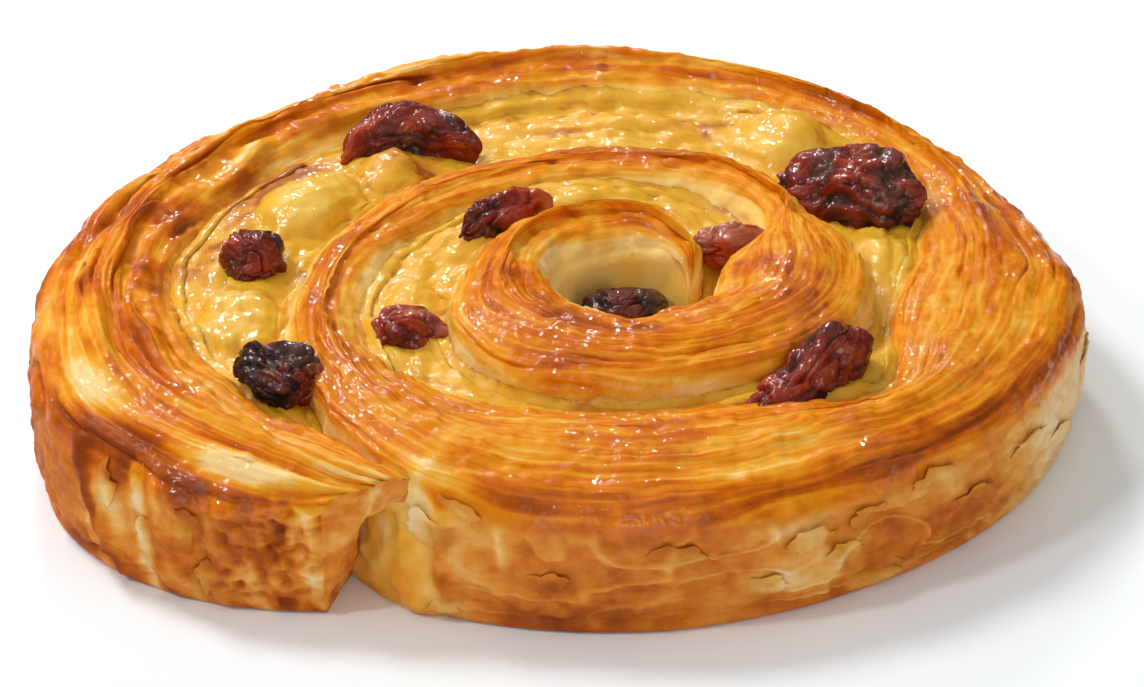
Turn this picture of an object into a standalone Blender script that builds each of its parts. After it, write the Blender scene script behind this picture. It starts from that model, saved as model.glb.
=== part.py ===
"""Danish pastry: one strip of laminated dough rolled flat into a coil, with custard between the turns and
raisins pressed into the custard. Run with blender --background --python part.py, or from the text editor.

The coil is described by its winding angle, in degrees: it grows anticlockwise from the tip of the strip in
the heart to the tail at the outer edge, and passes 360 for each turn. Lengths are in millimetres here and
become metres when a mesh is made. +Z is up, and the origin is under the middle of the pastry.
"""

import math

import bmesh
import bpy
import numpy as np
from mathutils import Euler, Matrix, Vector, noise

MM = 0.001
TURN = 360.0

# Where the axis of the coil stands, from the middle of the footprint.
AXIS = (7.0, -10.1)

# The strip of dough runs between these winding angles. Its torn end is slanted: by the inner wall it
# reaches further at the top and less at the table, where a hollow opens under it.
TIP_ANGLE = 22.0
TAIL_ANGLE = 951.0
TAIL_SLANT_TOP = 10.0
TAIL_SLANT_BASE = -4.0

# The seam is the gap between one turn and the next: winding angle, radius of its middle, width.
# Below an angle of 0 it is the wall of the open heart, which has no width.
SEAM = (
    (-338, 7.0, 0.0),
    (-180, 7.6, 0.0),
    (-90, 7.4, 0.0),
    (-20, 8.2, 0.0),
    (20, 10.0, 2.6),
    (45, 14.6, 8.6),
    (90, 17.6, 7.4),
    (140, 18.9, 6.4),
    (185, 21.8, 8.4),
    (215, 24.8, 5.6),
    (240, 24.4, 2.6),
    (270, 22.4, 1.5),
    (300, 22.8, 2.2),
    (326, 26.2, 5.4),
    (355, 26.2, 1.6),
    (380, 28.2, 6.4),
    (405, 33.4, 14.0),
    (430, 38.2, 15.0),
    (450, 39.0, 15.4),
    (490, 39.2, 12.8),
    (540, 40.0, 10.4),
    (566, 39.4, 5.0),
    (585, 39.6, 1.2),
    (600, 42.2, 0.6),
)

# The outside of the last turn: winding angle, radius at the widest level.
OUTLINE = (
    (600, 41.9),
    (630, 40.4),
    (665, 40.0),
    (700, 44.0),
    (712, 46.0),
    (726, 48.1),
    (742, 48.4),
    (758, 49.8),
    (780, 54.2),
    (812, 60.4),
    (850, 59.6),
    (880, 60.2),
    (905, 61.3),
    (922, 61.1),
    (936, 56.4),
    (951, 47.4),
)

# How high the strip stands: winding angle, crest above the table.
CREST = (
    (22, 17.4),
    (60, 19.2),
    (120, 19.7),
    (270, 19.0),
    (450, 18.4),
    (540, 17.8),
    (600, 16.6),
    (640, 15.8),
    (820, 16.2),
    (900, 16.8),
    (952, 14.6),
)

# How high the custard fills the seam: winding angle, level.
CUSTARD_LEVEL = (
    (0, 10.0),
    (30, 12.6),
    (60, 14.8),
    (200, 15.2),
    (270, 14.8),
    (350, 13.6),
    (385, 13.4),
    (430, 13.2),
    (470, 13.2),
    (500, 13.6),
    (540, 14.2),
    (585, 12.6),
)
CUSTARD_HEART_ANGLES = (4.0, 11.0, 17.0)
CUSTARD_START = 20.0
CUSTARD_END = 580.0
CUSTARD_BASE = 0.5
CUSTARD_SLACK = 0.4
HEART_PLUG_HEIGHT = 9.6
HEART_PLUG_RADII = (4.0, 5.0)

# The top edges are nearly square where the seam is shut, and rounder the wider it opens.
ROUND_SHUT = 0.6
ROUND_INNER_PER_WIDTH = 0.45
ROUND_OUTER_PER_WIDTH = 0.32
ROUND_HEART = 3.4
ROUND_RIM = 4.4
ROUND_BASE = 1.8
HEART_LEAN = 2.4
CROWN = 0.5

# Relief: the cut edges of the laminated layers run along the top, and the crust outside is blistered.
LAYER_RIDGES = 4
RIDGE_HEIGHT = 0.42
BLISTER_HEIGHT = 0.45
BLISTER_SIZE = 7.0
CRUMB_HEIGHT = 0.9
CRUMB_SIZE = 3.2
CRUMB_ANGLES = (926.0, 952.0)

STATION_STEP = 3.0
CUSTARD_STEP = 5.0

# Mounds on the custard: winding angle, radius, half length along the seam, half width, rise.
CUSTARD_MOUNDS = (
    (48, 14.0, 3.0, 4.0, 0.8),
    (104, 18.4, 6.0, 3.0, 1.0),
    (186, 22.4, 5.0, 4.0, 0.8),
    (382, 28.6, 4.6, 3.6, 1.6),
    (424, 43.0, 5.0, 5.0, 2.6),
    (452, 40.0, 8.0, 3.6, 1.0),
    (493, 36.8, 4.0, 3.6, 2.8),
    (511, 39.4, 8.0, 5.4, 2.4),
    (544, 39.4, 6.0, 5.0, 1.0),
)

# Raisins: name, winding angle along the seam, radius, height of the centre, (length, width, thickness), turn
# from the seam's direction, lean of the long axis, bend towards the heart, hump on top of the far end.
RAISINS = (
    ("raisin_heart", 100, 2.2, 11.8, (8.8, 6.6, 5.6), -10, 0, 0.0, 0.0),
    ("raisin_tip", 36, 13.4, 16.9, (8.6, 5.2, 4.6), -106, 0, 0.4, 0.0),
    ("raisin_upper_left", 134, 19.0, 17.0, (11.0, 5.8, 5.8), -5, -4, 1.0, 0.0),
    ("raisin_left", 203, 23.8, 16.4, (7.4, 5.8, 5.0), -113, 0, 0.4, 0.0),
    ("raisin_lower_right", 316, 25.2, 15.4, (16.0, 5.4, 5.2), -6, -6, 0.6, 2.6),
    ("raisin_large", 402, 32.8, 14.8, (15.8, 10.8, 9.4), 26, 4, 1.2, 0.0),
    ("raisin_arch", 484, 42.6, 15.6, (14.6, 6.0, 6.6), -26, 0, 4.4, 0.0),
    ("raisin_square", 531, 39.4, 15.4, (7.2, 6.4, 6.2), 20, 0, 0.0, 0.0),
    ("raisin_dark", 567, 39.2, 16.2, (8.8, 6.8, 6.4), 40, 0, 0.6, 0.0),
)
LARGE_RAISIN = 10.0
RAISIN_CLEARANCE = 0.4
WRINKLE_DEPTH = 0.34

PASTRY_COLOUR = (0.62, 0.27, 0.06, 1.0)
CUSTARD_COLOUR = (0.78, 0.52, 0.08, 1.0)
RAISIN_COLOUR = (0.10, 0.025, 0.015, 1.0)


def clear_scene():
    for obj in list(bpy.data.objects):
        bpy.data.objects.remove(obj)


def eased(table, angle, column=1):
    """Value of a table at the winding angles, on a smooth curve through its rows."""
    rows = np.array(table, float)
    x, y = rows[:, 0], rows[:, column]
    slopes = np.gradient(y, x)
    angle = np.clip(np.asarray(angle, float), x[0], x[-1])
    k = np.clip(np.searchsorted(x, angle, side="right") - 1, 0, len(x) - 2)
    span = x[k + 1] - x[k]
    f = (angle - x[k]) / span
    start = (2 * f**3 - 3 * f**2 + 1) * y[k] + (f**3 - 2 * f**2 + f) * span * slopes[k]
    end = (3 * f**2 - 2 * f**3) * y[k + 1] + (f**3 - f**2) * span * slopes[k + 1]
    return start + end


def smoothstep(low, high, x):
    f = np.clip((x - low) / (high - low), 0, 1)
    return f * f * (3 - 2 * f)


def inner_radius(angle):
    """Inner wall of the strip: the outer side of the seam one turn further in."""
    return eased(SEAM, angle - TURN, 1) + eased(SEAM, angle - TURN, 2) / 2


def outer_radius(angle):
    """Outer wall of the strip: the inner side of its own seam, and the outline on the last turn."""
    seam = eased(SEAM, angle, 1) - eased(SEAM, angle, 2) / 2
    return np.where(angle < SEAM[-1][0], seam, eased(OUTLINE, angle))


def heart_lean(angle):
    """How far the inner wall moves inwards at the table, which is only round the open heart."""
    return HEART_LEAN * (1 - smoothstep(TURN - 60, TURN + TIP_ANGLE, angle))


def edge_inset(z, crest, rounding):
    """How far a wall draws back where the top edge is rounded."""
    above = np.clip(z - (crest - rounding), 0, rounding)
    return rounding - np.sqrt(rounding**2 - above**2)


def roundings(angle):
    """Radii of the strip's inner and outer top edges, which shrink where it is narrow."""
    most = 0.46 * (outer_radius(angle) - inner_radius(angle))
    seam_inside, seam_outside = eased(SEAM, angle - TURN, 2), eased(SEAM, angle, 2)
    heart = 1 - smoothstep(TURN - 20, TURN + TIP_ANGLE, angle)
    rim = smoothstep(SEAM[-1][0] - 2, SEAM[-1][0] + 14, angle)
    inside = ROUND_SHUT + ROUND_INNER_PER_WIDTH * seam_inside
    outside = ROUND_SHUT + ROUND_OUTER_PER_WIDTH * seam_outside
    inside = inside + (ROUND_HEART - inside) * heart
    outside = outside + (ROUND_RIM - outside) * rim
    return np.minimum(inside, most), np.minimum(outside, most)


def stations(start, end, step):
    """Winding angles from start to end, about a step apart along the seam or outline."""
    fine = np.arange(start, end, 0.5)
    radius = np.maximum(outer_radius(fine), 8.0)
    length = np.concatenate([[0], np.cumsum(np.radians(0.5) * radius[:-1])])
    count = int(length[-1] / step)
    return np.append(np.interp(np.arange(count) * length[-1] / count, length, fine), end)


def placed(radius, angle, z):
    """Points of the pastry, in metres, from radius, winding angle and height."""
    turn = np.radians(angle)
    x = AXIS[0] + radius * np.cos(turn)
    y = AXIS[1] + radius * np.sin(turn)
    return np.stack([x, y, z + 0 * x], axis=-1) * MM


def rough(points, size, seed):
    """Smooth noise from -1 to 1 at points in metres, with features of the given size."""
    shift = Vector((seed, 0, -seed))
    flat = [noise.noise(Vector(p) / (size * MM) + shift) for p in points.reshape(-1, 3)]
    return np.array(flat).reshape(points.shape[:-1])


def strip_section(angle):
    """Rings of the strip, one for each angle: (radius, height, ridge, crust) of its points. The ring starts
    at the table under the outer wall, climbs it, crosses the top inwards and comes down the inner wall."""
    inner, outer, crest = inner_radius(angle), outer_radius(angle), eased(CREST, angle)
    lean = heart_lean(angle)
    round_in, round_out = roundings(angle)
    round_base = np.minimum(ROUND_BASE, round_out)
    rings = []

    def add(radius, z, ridge=0.0, crust=0.0):
        radius = radius - lean * np.clip((outer - radius) / (outer - inner), 0, 1) * (1 - z / crest)
        rings.append(np.stack([radius, z, ridge + 0 * angle, crust + 0 * angle], axis=-1))

    for part in (0.0, 0.5, 1.0):
        bend = math.radians(90 * part)
        add(outer - round_base * (1 - math.sin(bend)), round_base * (1 - math.cos(bend)), 0, part)
    for part in (0.36, 0.7):
        add(outer, round_base + part * (crest - round_out - round_base), 0, 1)
    for part in (0.0, 0.4, 0.75):
        bend = math.radians(90 * part)
        add(
            outer - round_out * (1 - math.cos(bend)),
            crest - round_out * (1 - math.sin(bend)),
            0,
            1 - part,
        )
    for step in range(2 * LAYER_RIDGES + 1):
        part = step / (2 * LAYER_RIDGES)
        across = (outer - round_out) * (1 - part) + (inner + round_in) * part
        add(across, crest + CROWN * 4 * part * (1 - part), 1.0 if step % 2 else -0.4)
    for part in (0.6, 0.2):
        bend = math.radians(90 * part)
        add(inner + round_in * (1 - math.cos(bend)), crest - round_in * (1 - math.sin(bend)))
    for part in (0.8, 0.4):
        add(inner, round_base + part * (crest - round_in - round_base))
    for part in (1.0, 0.4):
        bend = math.radians(90 * part)
        add(inner + round_base * (1 - math.sin(bend)), round_base * (1 - math.cos(bend)))
    add((inner + outer) / 2, 0 * angle)
    return np.stack(rings, axis=1)


def loft(name, rings):
    """Closed body through rings of points, each end closed by a fan round its middle."""
    bm = bmesh.new()
    rows = [[bm.verts.new(p) for p in ring] for ring in rings]
    count = len(rows[0])
    for row, after in zip(rows, rows[1:]):
        for k in range(count):
            n = (k + 1) % count
            bm.faces.new((row[k], row[n], after[n], after[k]))
    for ring, row in ((rings[0], rows[0]), (rings[-1], rows[-1])):
        middle = bm.verts.new((ring.min(axis=0) + ring.max(axis=0)) / 2)
        for k in range(count):
            bm.faces.new((row[k], row[(k + 1) % count], middle))
    bmesh.ops.triangulate(bm, faces=bm.faces[:])
    bmesh.ops.recalc_face_normals(bm, faces=bm.faces[:])
    return object_from(name, bm)


def object_from(name, bm):
    mesh = bpy.data.meshes.new(name)
    bm.to_mesh(mesh)
    bm.free()
    obj = bpy.data.objects.new(name, mesh)
    bpy.context.scene.collection.objects.link(obj)
    return obj


def make_dough():
    """The coiled strip, thinned to a round tip in the heart, with its layers and crust in relief."""
    angle = stations(TIP_ANGLE, TAIL_ANGLE, STATION_STEP)
    section = strip_section(angle)
    radius, z, ridge, crust = (section[..., k] for k in range(4))
    turning = np.repeat(angle[:, None], radius.shape[1], axis=1)

    middle = (radius.max(axis=1) + radius.min(axis=1))[:, None] / 2
    tip = np.sqrt(np.clip((angle - TIP_ANGLE + 1.0) / 12, 0, 1))[:, None]
    radius = middle + (radius - middle) * tip
    z = z * (0.8 + 0.2 * tip)

    bare = placed(radius, turning, z)
    swell = 0.75 + 0.5 * rough(bare, 9.0, 3)
    z = z + ridge * RIDGE_HEIGHT * swell * tip

    across = (radius.max(axis=1)[:, None] - radius) / np.ptp(radius, axis=1)[:, None]
    bridge = smoothstep(0.45, 0.95, z / z.max(axis=1)[:, None])
    slant = TAIL_SLANT_BASE + (TAIL_SLANT_TOP - TAIL_SLANT_BASE) * bridge
    turning = turning + slant * across * smoothstep(TAIL_ANGLE - 14, TAIL_ANGLE, turning)

    last_turn = smoothstep(SEAM[-1][0], SEAM[-1][0] + 8, turning)
    torn = smoothstep(CRUMB_ANGLES[0] - 6, CRUMB_ANGLES[0], turning)
    blister = BLISTER_HEIGHT * rough(bare, BLISTER_SIZE, 11)
    crumb = CRUMB_HEIGHT * (rough(bare, CRUMB_SIZE, 5) - 0.4)
    radius = radius + crust * last_turn * (blister * (1 - torn) + crumb * torn)
    return loft("dough", placed(radius, turning, z))


def custard_ring(angle, top_points=6, side_points=4):
    """Rings of the custard, which follows the walls on both sides with a little slack."""
    level = eased(CUSTARD_LEVEL, angle)
    before = angle < CUSTARD_START
    crest_in, crest_out = eased(CREST, angle), eased(CREST, angle + TURN)
    round_in, round_out = roundings(np.maximum(angle, TIP_ANGLE))[1], roundings(angle + TURN)[0]
    low = np.where(before, HEART_PLUG_RADII[0] * 0.7, outer_radius(angle) + CUSTARD_SLACK)
    high = inner_radius(angle + TURN) - CUSTARD_SLACK
    lean = heart_lean(angle + TURN)

    def sides(z):
        left = np.where(before, low, low - edge_inset(z, crest_in, round_in))
        right = high + edge_inset(z, crest_out, round_out) - lean * (1 - z / crest_out)
        return left, right

    rings = []
    heights = [CUSTARD_BASE + (level - CUSTARD_BASE) * k / side_points for k in range(side_points + 1)]
    for z in heights:
        rings.append((sides(z)[1], z))
    left, right = sides(level)
    for k in range(1, top_points):
        part = k / top_points
        rings.append((right + (left - right) * part, level + 0.35 * math.sin(math.pi * part)))
    for z in reversed(heights):
        rings.append((sides(z)[0], z))
    radius = np.stack([r for r, _ in rings], axis=1)
    z = np.stack([h + 0 * angle for _, h in rings], axis=1)
    on_top = np.arange(radius.shape[1])
    on_top = (on_top > side_points) & (on_top < side_points + top_points)
    return radius, z + on_top * mounds(radius, angle[:, None])


def mounds(radius, angle):
    """Rise of the custard's surface at points given by radius and winding angle."""
    rise = 0.0
    for mid_angle, mid_radius, half_length, half_width, height in CUSTARD_MOUNDS:
        along = np.radians(angle - mid_angle) * mid_radius / half_length
        rise = rise + height * np.exp(-(along**2) - ((radius - mid_radius) / half_width) ** 2)
    return rise


def make_custard():
    """The custard: a plug in the heart and the layer that runs out from it between the turns."""
    angle = np.append(CUSTARD_HEART_ANGLES, stations(CUSTARD_START, CUSTARD_END, CUSTARD_STEP))
    radius, z = custard_ring(angle)
    turning = np.repeat(angle[:, None], radius.shape[1], axis=1)
    layer = loft("custard", placed(radius, turning, z))

    bm = bmesh.new()
    low, high = HEART_PLUG_RADII
    height = HEART_PLUG_HEIGHT - CUSTARD_BASE
    bmesh.ops.create_cone(
        bm, cap_ends=True, segments=24, radius1=low * MM, radius2=high * MM, depth=height * MM
    )
    middle = CUSTARD_BASE + height / 2
    bmesh.ops.translate(bm, verts=bm.verts[:], vec=Vector((*AXIS, middle)) * MM)
    plug = object_from("heart_plug", bm)
    combine(layer, plug, "UNION")
    bpy.data.objects.remove(plug)
    return layer


def raisin_matrix(angle, radius, height, turn, lean):
    x, y, z = placed(np.array(radius), np.array(float(angle)), np.array(height))
    direction = math.radians(angle + 90 + turn)
    return Matrix.Translation((x, y, z)) @ Euler((0, math.radians(lean), direction)).to_matrix().to_4x4()


def make_raisin(name, angle, radius, height, size, turn, lean, bend, hump):
    """A shrivelled ellipsoid, bent or humped, and the smooth, slightly larger one that makes room for it."""
    place = raisin_matrix(angle, radius, height, turn, lean)
    half = Vector(size) * (MM / 2)
    seed = len(name) + angle
    made = []
    for part, grow in ((name, 0.0), (name + "_room", RAISIN_CLEARANCE * MM)):
        bm = bmesh.new()
        bmesh.ops.create_icosphere(bm, subdivisions=3 if size[0] > LARGE_RAISIN else 2, radius=1.0)
        for vert in bm.verts:
            unit = vert.co.normalized()
            fold = noise.noise(Vector((unit.x * 1.4, unit.y * 2.6, unit.z * 2.6 + seed)))
            keep = 1.0 if grow else 1 - WRINKLE_DEPTH * max(fold + 0.15, 0)
            body = Vector((unit.x * half.x, unit.y * half.y, unit.z * half.z)) * keep
            body.y += bend * MM * unit.x**2
            body.z += hump * MM * max(unit.z, 0) * math.exp(-(((unit.x - 0.35) / 0.4) ** 2))
            vert.co = place @ (body + unit * grow)
        made.append(object_from(part, bm))
    made[1].hide_render = True
    made[1].display_type = "WIRE"
    return made


def combine(obj, other, operation):
    """Applies one exact Boolean with another object and keeps the largest body that is left."""
    modifier = obj.modifiers.new(operation.lower(), "BOOLEAN")
    modifier.operation = operation
    modifier.object = other
    modifier.solver = "EXACT"
    graph = bpy.context.evaluated_depsgraph_get()
    mesh = bpy.data.meshes.new_from_object(obj.evaluated_get(graph))
    obj.modifiers.remove(modifier)
    obj.data = mesh
    keep_largest_body(mesh)


def keep_largest_body(mesh):
    bm = bmesh.new()
    bm.from_mesh(mesh)
    left, bodies = set(bm.verts), []
    while left:
        body, front = set(), [left.pop()]
        while front:
            vert = front.pop()
            body.add(vert)
            near = {edge.other_vert(vert) for edge in vert.link_edges} & left
            left -= near
            front.extend(near)
        bodies.append(body)
    bodies.sort(key=len)
    for body in bodies[:-1]:
        bmesh.ops.delete(bm, geom=list(body), context="VERTS")
    bmesh.ops.triangulate(bm, faces=bm.faces[:])
    bm.to_mesh(mesh)
    bm.free()


def material(name, colour, roughness):
    made = bpy.data.materials.new(name)
    made.use_nodes = True
    shader = made.node_tree.nodes["Principled BSDF"]
    shader.inputs["Base Color"].default_value = colour
    shader.inputs["Roughness"].default_value = roughness
    return made


def main():
    clear_scene()
    pastry = bpy.data.collections.new("danish_pastry")
    rooms = bpy.data.collections.new("raisin_rooms")
    for collection in (pastry, rooms):
        bpy.context.scene.collection.children.link(collection)

    dough, custard = make_dough(), make_custard()
    raisins = [make_raisin(*row) for row in RAISINS]
    for _, room in raisins:
        for solid in (dough, custard):
            combine(solid, room, "DIFFERENCE")

    looks = (
        ([dough], material("baked_dough", PASTRY_COLOUR, 0.35)),
        ([custard], material("custard", CUSTARD_COLOUR, 0.3)),
        ([raisin for raisin, _ in raisins], material("raisin", RAISIN_COLOUR, 0.4)),
    )
    for objects, look in looks:
        for obj in objects:
            obj.data.materials.clear()
            obj.data.materials.append(look)
            obj.data.shade_smooth()
            obj.data.set_sharp_from_angle(angle=math.radians(50))
            pastry.objects.link(obj)
            bpy.context.scene.collection.objects.unlink(obj)
    for _, room in raisins:
        rooms.objects.link(room)
        bpy.context.scene.collection.objects.unlink(room)


main()
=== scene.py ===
"""Looks of the danish pastry: a coil of laminated dough with custard and raisins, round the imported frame.

Lengths are in millimetres and become metres when a mesh is made. The coil is described by its winding
angle, in degrees, which grows anticlockwise from the tip in the heart to the tail at the outer edge.
"""

import math

import bpy
import numpy as np
from mathutils import Matrix, Vector

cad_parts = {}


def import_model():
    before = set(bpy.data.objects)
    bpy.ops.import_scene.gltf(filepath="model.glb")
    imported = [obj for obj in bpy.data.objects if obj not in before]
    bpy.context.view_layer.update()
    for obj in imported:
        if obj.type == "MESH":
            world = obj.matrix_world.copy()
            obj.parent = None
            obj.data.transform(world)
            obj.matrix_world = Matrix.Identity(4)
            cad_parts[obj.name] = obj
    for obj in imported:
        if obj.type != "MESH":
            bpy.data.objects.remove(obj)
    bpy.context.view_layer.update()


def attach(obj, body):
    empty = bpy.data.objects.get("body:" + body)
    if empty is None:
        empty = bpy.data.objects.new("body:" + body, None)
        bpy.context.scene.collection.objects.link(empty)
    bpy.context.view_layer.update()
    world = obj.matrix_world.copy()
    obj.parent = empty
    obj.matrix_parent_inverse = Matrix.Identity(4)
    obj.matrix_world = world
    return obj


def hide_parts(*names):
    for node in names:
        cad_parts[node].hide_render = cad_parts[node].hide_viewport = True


MM = 0.001
TURN = 360.0

# The form, as in the solids
AXIS = (7.0, -10.1)
TIP_ANGLE = 22.0
TAIL_ANGLE = 951.0
TAIL_SLANT_TOP = 10.0
TAIL_SLANT_BASE = -4.0

# The seam between one turn and the next: winding angle, radius of its middle, width.
SEAM = (
    (-338, 7.0, 0.0),
    (-180, 7.6, 0.0),
    (-90, 7.4, 0.0),
    (-20, 8.2, 0.0),
    (20, 10.0, 2.6),
    (45, 14.6, 8.6),
    (90, 17.6, 7.4),
    (140, 18.9, 6.4),
    (185, 21.8, 8.4),
    (215, 24.8, 5.6),
    (240, 24.4, 2.6),
    (270, 22.4, 1.5),
    (300, 22.8, 2.2),
    (326, 26.2, 5.4),
    (355, 26.2, 1.6),
    (380, 28.2, 6.4),
    (405, 33.4, 14.0),
    (430, 38.2, 15.0),
    (450, 39.0, 15.4),
    (490, 39.2, 12.8),
    (540, 40.0, 10.4),
    (566, 39.4, 5.0),
    (585, 39.6, 1.2),
    (600, 42.2, 0.6),
)
# The outside of the last turn: winding angle, radius at the widest level.
OUTLINE = (
    (600, 41.9),
    (630, 40.4),
    (665, 40.0),
    (700, 44.0),
    (712, 46.0),
    (726, 48.1),
    (742, 48.4),
    (758, 49.8),
    (780, 54.2),
    (812, 60.4),
    (850, 59.6),
    (880, 60.2),
    (905, 61.3),
    (922, 61.1),
    (936, 56.4),
    (951, 47.4),
)
# How high the strip stands: winding angle, crest above the table.
CREST = (
    (22, 17.4),
    (60, 19.2),
    (120, 19.7),
    (270, 19.0),
    (450, 18.4),
    (540, 17.8),
    (600, 16.6),
    (640, 15.8),
    (820, 16.2),
    (900, 16.8),
    (952, 14.6),
)
# How high the custard fills the seam: winding angle, level.
CUSTARD_LEVEL = (
    (0, 10.0),
    (30, 12.6),
    (60, 14.8),
    (200, 15.2),
    (270, 14.8),
    (350, 13.6),
    (385, 13.4),
    (430, 13.2),
    (470, 13.2),
    (500, 13.6),
    (540, 14.2),
    (585, 12.6),
)
# Mounds on the custard: winding angle, radius, half length along the seam, half width, rise.
CUSTARD_MOUNDS = (
    (48, 14.0, 3.0, 4.0, 0.8),
    (104, 18.4, 6.0, 3.0, 1.0),
    (186, 22.4, 5.0, 4.0, 0.8),
    (382, 28.6, 4.6, 3.6, 1.6),
    (424, 43.0, 5.0, 5.0, 2.6),
    (452, 40.0, 8.0, 3.6, 1.0),
    (493, 36.8, 4.0, 3.6, 2.8),
    (511, 39.4, 8.0, 5.4, 2.4),
    (544, 39.4, 6.0, 5.0, 1.0),
)
CUSTARD_HEART_ANGLES = (4.0, 11.0, 17.0)
CUSTARD_START = 20.0
CUSTARD_END = 580.0
CUSTARD_BASE = 0.5

ROUND_SHUT = 0.6
ROUND_INNER_PER_WIDTH = 0.45
ROUND_OUTER_PER_WIDTH = 0.32
ROUND_HEART = 3.4
ROUND_RIM = 4.4
ROUND_BASE = 1.8
HEART_LEAN = 2.4

# The camera: degrees above the table, millimetres from the point it aims at, and its lens.
CAMERA_ELEVATION = 30.0
CAMERA_DISTANCE = 450.0
CAMERA_LENS = 130.3
CAMERA_AIM = (1.24, 8.77, -1.27)

# The studio's light from the sky, near the horizon and overhead
WORLD_LOW = 0.10
WORLD_HIGH = 0.69


def eased(table, angle, column=1):
    """Value of a table at the winding angles, on a smooth curve through its rows."""
    rows = np.array(table, float)
    x, y = rows[:, 0], rows[:, column]
    slopes = np.gradient(y, x)
    angle = np.clip(np.asarray(angle, float), x[0], x[-1])
    k = np.clip(np.searchsorted(x, angle, side="right") - 1, 0, len(x) - 2)
    span = x[k + 1] - x[k]
    f = (angle - x[k]) / span
    start = (2 * f**3 - 3 * f**2 + 1) * y[k] + (f**3 - 2 * f**2 + f) * span * slopes[k]
    end = (3 * f**2 - 2 * f**3) * y[k + 1] + (f**3 - f**2) * span * slopes[k + 1]
    return start + end


def smoothstep(low, high, x):
    f = np.clip((x - low) / (high - low), 0, 1)
    return f * f * (3 - 2 * f)


def inner_radius(angle):
    """Inner wall of the strip: the outer side of the seam one turn further in."""
    return eased(SEAM, angle - TURN, 1) + eased(SEAM, angle - TURN, 2) / 2


def outer_radius(angle):
    """Outer wall of the strip: the inner side of its own seam, and the outline on the last turn."""
    seam = eased(SEAM, angle, 1) - eased(SEAM, angle, 2) / 2
    return np.where(angle < SEAM[-1][0], seam, eased(OUTLINE, angle))


def heart_lean(angle):
    """How far the inner wall moves inwards at the table, which is only round the open heart."""
    return HEART_LEAN * (1 - smoothstep(TURN - 60, TURN + TIP_ANGLE, angle))


def edge_inset(z, crest, rounding):
    """How far a wall draws back where the top edge is rounded."""
    above = np.clip(z - (crest - rounding), 0, rounding)
    return rounding - np.sqrt(rounding**2 - above**2)


def roundings(angle):
    """Radii of the strip's inner and outer top edges, which shrink where it is narrow."""
    most = 0.46 * (outer_radius(angle) - inner_radius(angle))
    seam_inside, seam_outside = eased(SEAM, angle - TURN, 2), eased(SEAM, angle, 2)
    heart = 1 - smoothstep(TURN - 20, TURN + TIP_ANGLE, angle)
    rim = smoothstep(SEAM[-1][0] - 2, SEAM[-1][0] + 14, angle)
    inside = ROUND_SHUT + ROUND_INNER_PER_WIDTH * seam_inside
    outside = ROUND_SHUT + ROUND_OUTER_PER_WIDTH * seam_outside
    inside = inside + (ROUND_HEART - inside) * heart
    outside = outside + (ROUND_RIM - outside) * rim
    return np.minimum(inside, most), np.minimum(outside, most)


def mounds(radius, angle):
    """Rise of the custard's surface at points given by radius and winding angle."""
    rise = 0.0
    for mid_angle, mid_radius, half_length, half_width, height in CUSTARD_MOUNDS:
        along = np.radians(angle - mid_angle) * mid_radius / half_length
        rise = rise + height * np.exp(-(along**2) - ((radius - mid_radius) / half_width) ** 2)
    return rise


# Noise


def lattice(cells, seed):
    """Repeatable random value from -1 to 1 for each whole-number cell, given as an array of three columns."""
    mixed = cells[..., 0] * 374761393 + cells[..., 1] * 668265263 + cells[..., 2] * 2147483647 + seed * 974711
    mixed = (mixed ^ (mixed >> 13)) & 0xFFFFFFFF
    mixed = (mixed * 1274126177) & 0xFFFFFFFF
    mixed = (mixed ^ (mixed >> 16)) & 0xFFFFFFFF
    mixed = (mixed * 2246822519) & 0xFFFFFFFF
    mixed = (mixed ^ (mixed >> 13)) & 0xFFFF
    return mixed / 32767.5 - 1


def noise(points, seed=0):
    """Smooth noise from -1 to 1 with features about one unit apart."""
    points = np.asarray(points, float)
    base = np.floor(points).astype(np.int64)
    f = points - base
    f = f * f * f * (f * (f * 6 - 15) + 10)
    total = 0.0
    for corner in range(8):
        step = np.array([corner & 1, corner >> 1 & 1, corner >> 2 & 1])
        weight = np.prod(np.where(step, f, 1 - f), axis=-1)
        total = total + weight * lattice(base + step, seed)
    return total


def rough(points, octaves=3, seed=0):
    """Noise with finer and weaker layers added."""
    total, weight, most = 0.0, 1.0, 0.0
    for octave in range(octaves):
        total = total + weight * noise(np.asarray(points) * 2**octave, seed + octave)
        most += weight
        weight *= 0.5
    return total / most


def cells(points, seed=0):
    """Distance to the nearest and to the second nearest of scattered points, one in each unit cube."""
    points = np.asarray(points, float)
    base = np.floor(points).astype(np.int64)
    first = np.full(points.shape[:-1], 9.0)
    second = np.full(points.shape[:-1], 9.0)
    for shift in range(27):
        step = np.array([shift % 3, shift // 3 % 3, shift // 9]) - 1
        cell = base + step
        spot = cell + np.stack([0.5 + 0.45 * lattice(cell, seed + k) for k in range(3)], axis=-1)
        gap = np.linalg.norm(points - spot, axis=-1)
        second = np.minimum(second, np.maximum(first, gap))
        first = np.minimum(first, gap)
    return first, second


def stack(*columns):
    return np.stack(np.broadcast_arrays(*columns), axis=-1)


# Meshes


def placed(radius, angle, z):
    """Points of the pastry, in metres, from radius, winding angle and height."""
    turn = np.radians(angle)
    return stack(AXIS[0] + radius * np.cos(turn), AXIS[1] + radius * np.sin(turn), z) * MM


def stations(start, end, step):
    """Winding angles from start to end, about a step apart along the seam or outline."""
    fine = np.arange(start, end, 0.5)
    radius = np.maximum(outer_radius(fine), 8.0)
    length = np.concatenate([[0], np.cumsum(np.radians(0.5) * radius[:-1])])
    count = int(length[-1] / step)
    return np.append(np.interp(np.arange(count) * length[-1] / count, length, fine), end)


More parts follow.
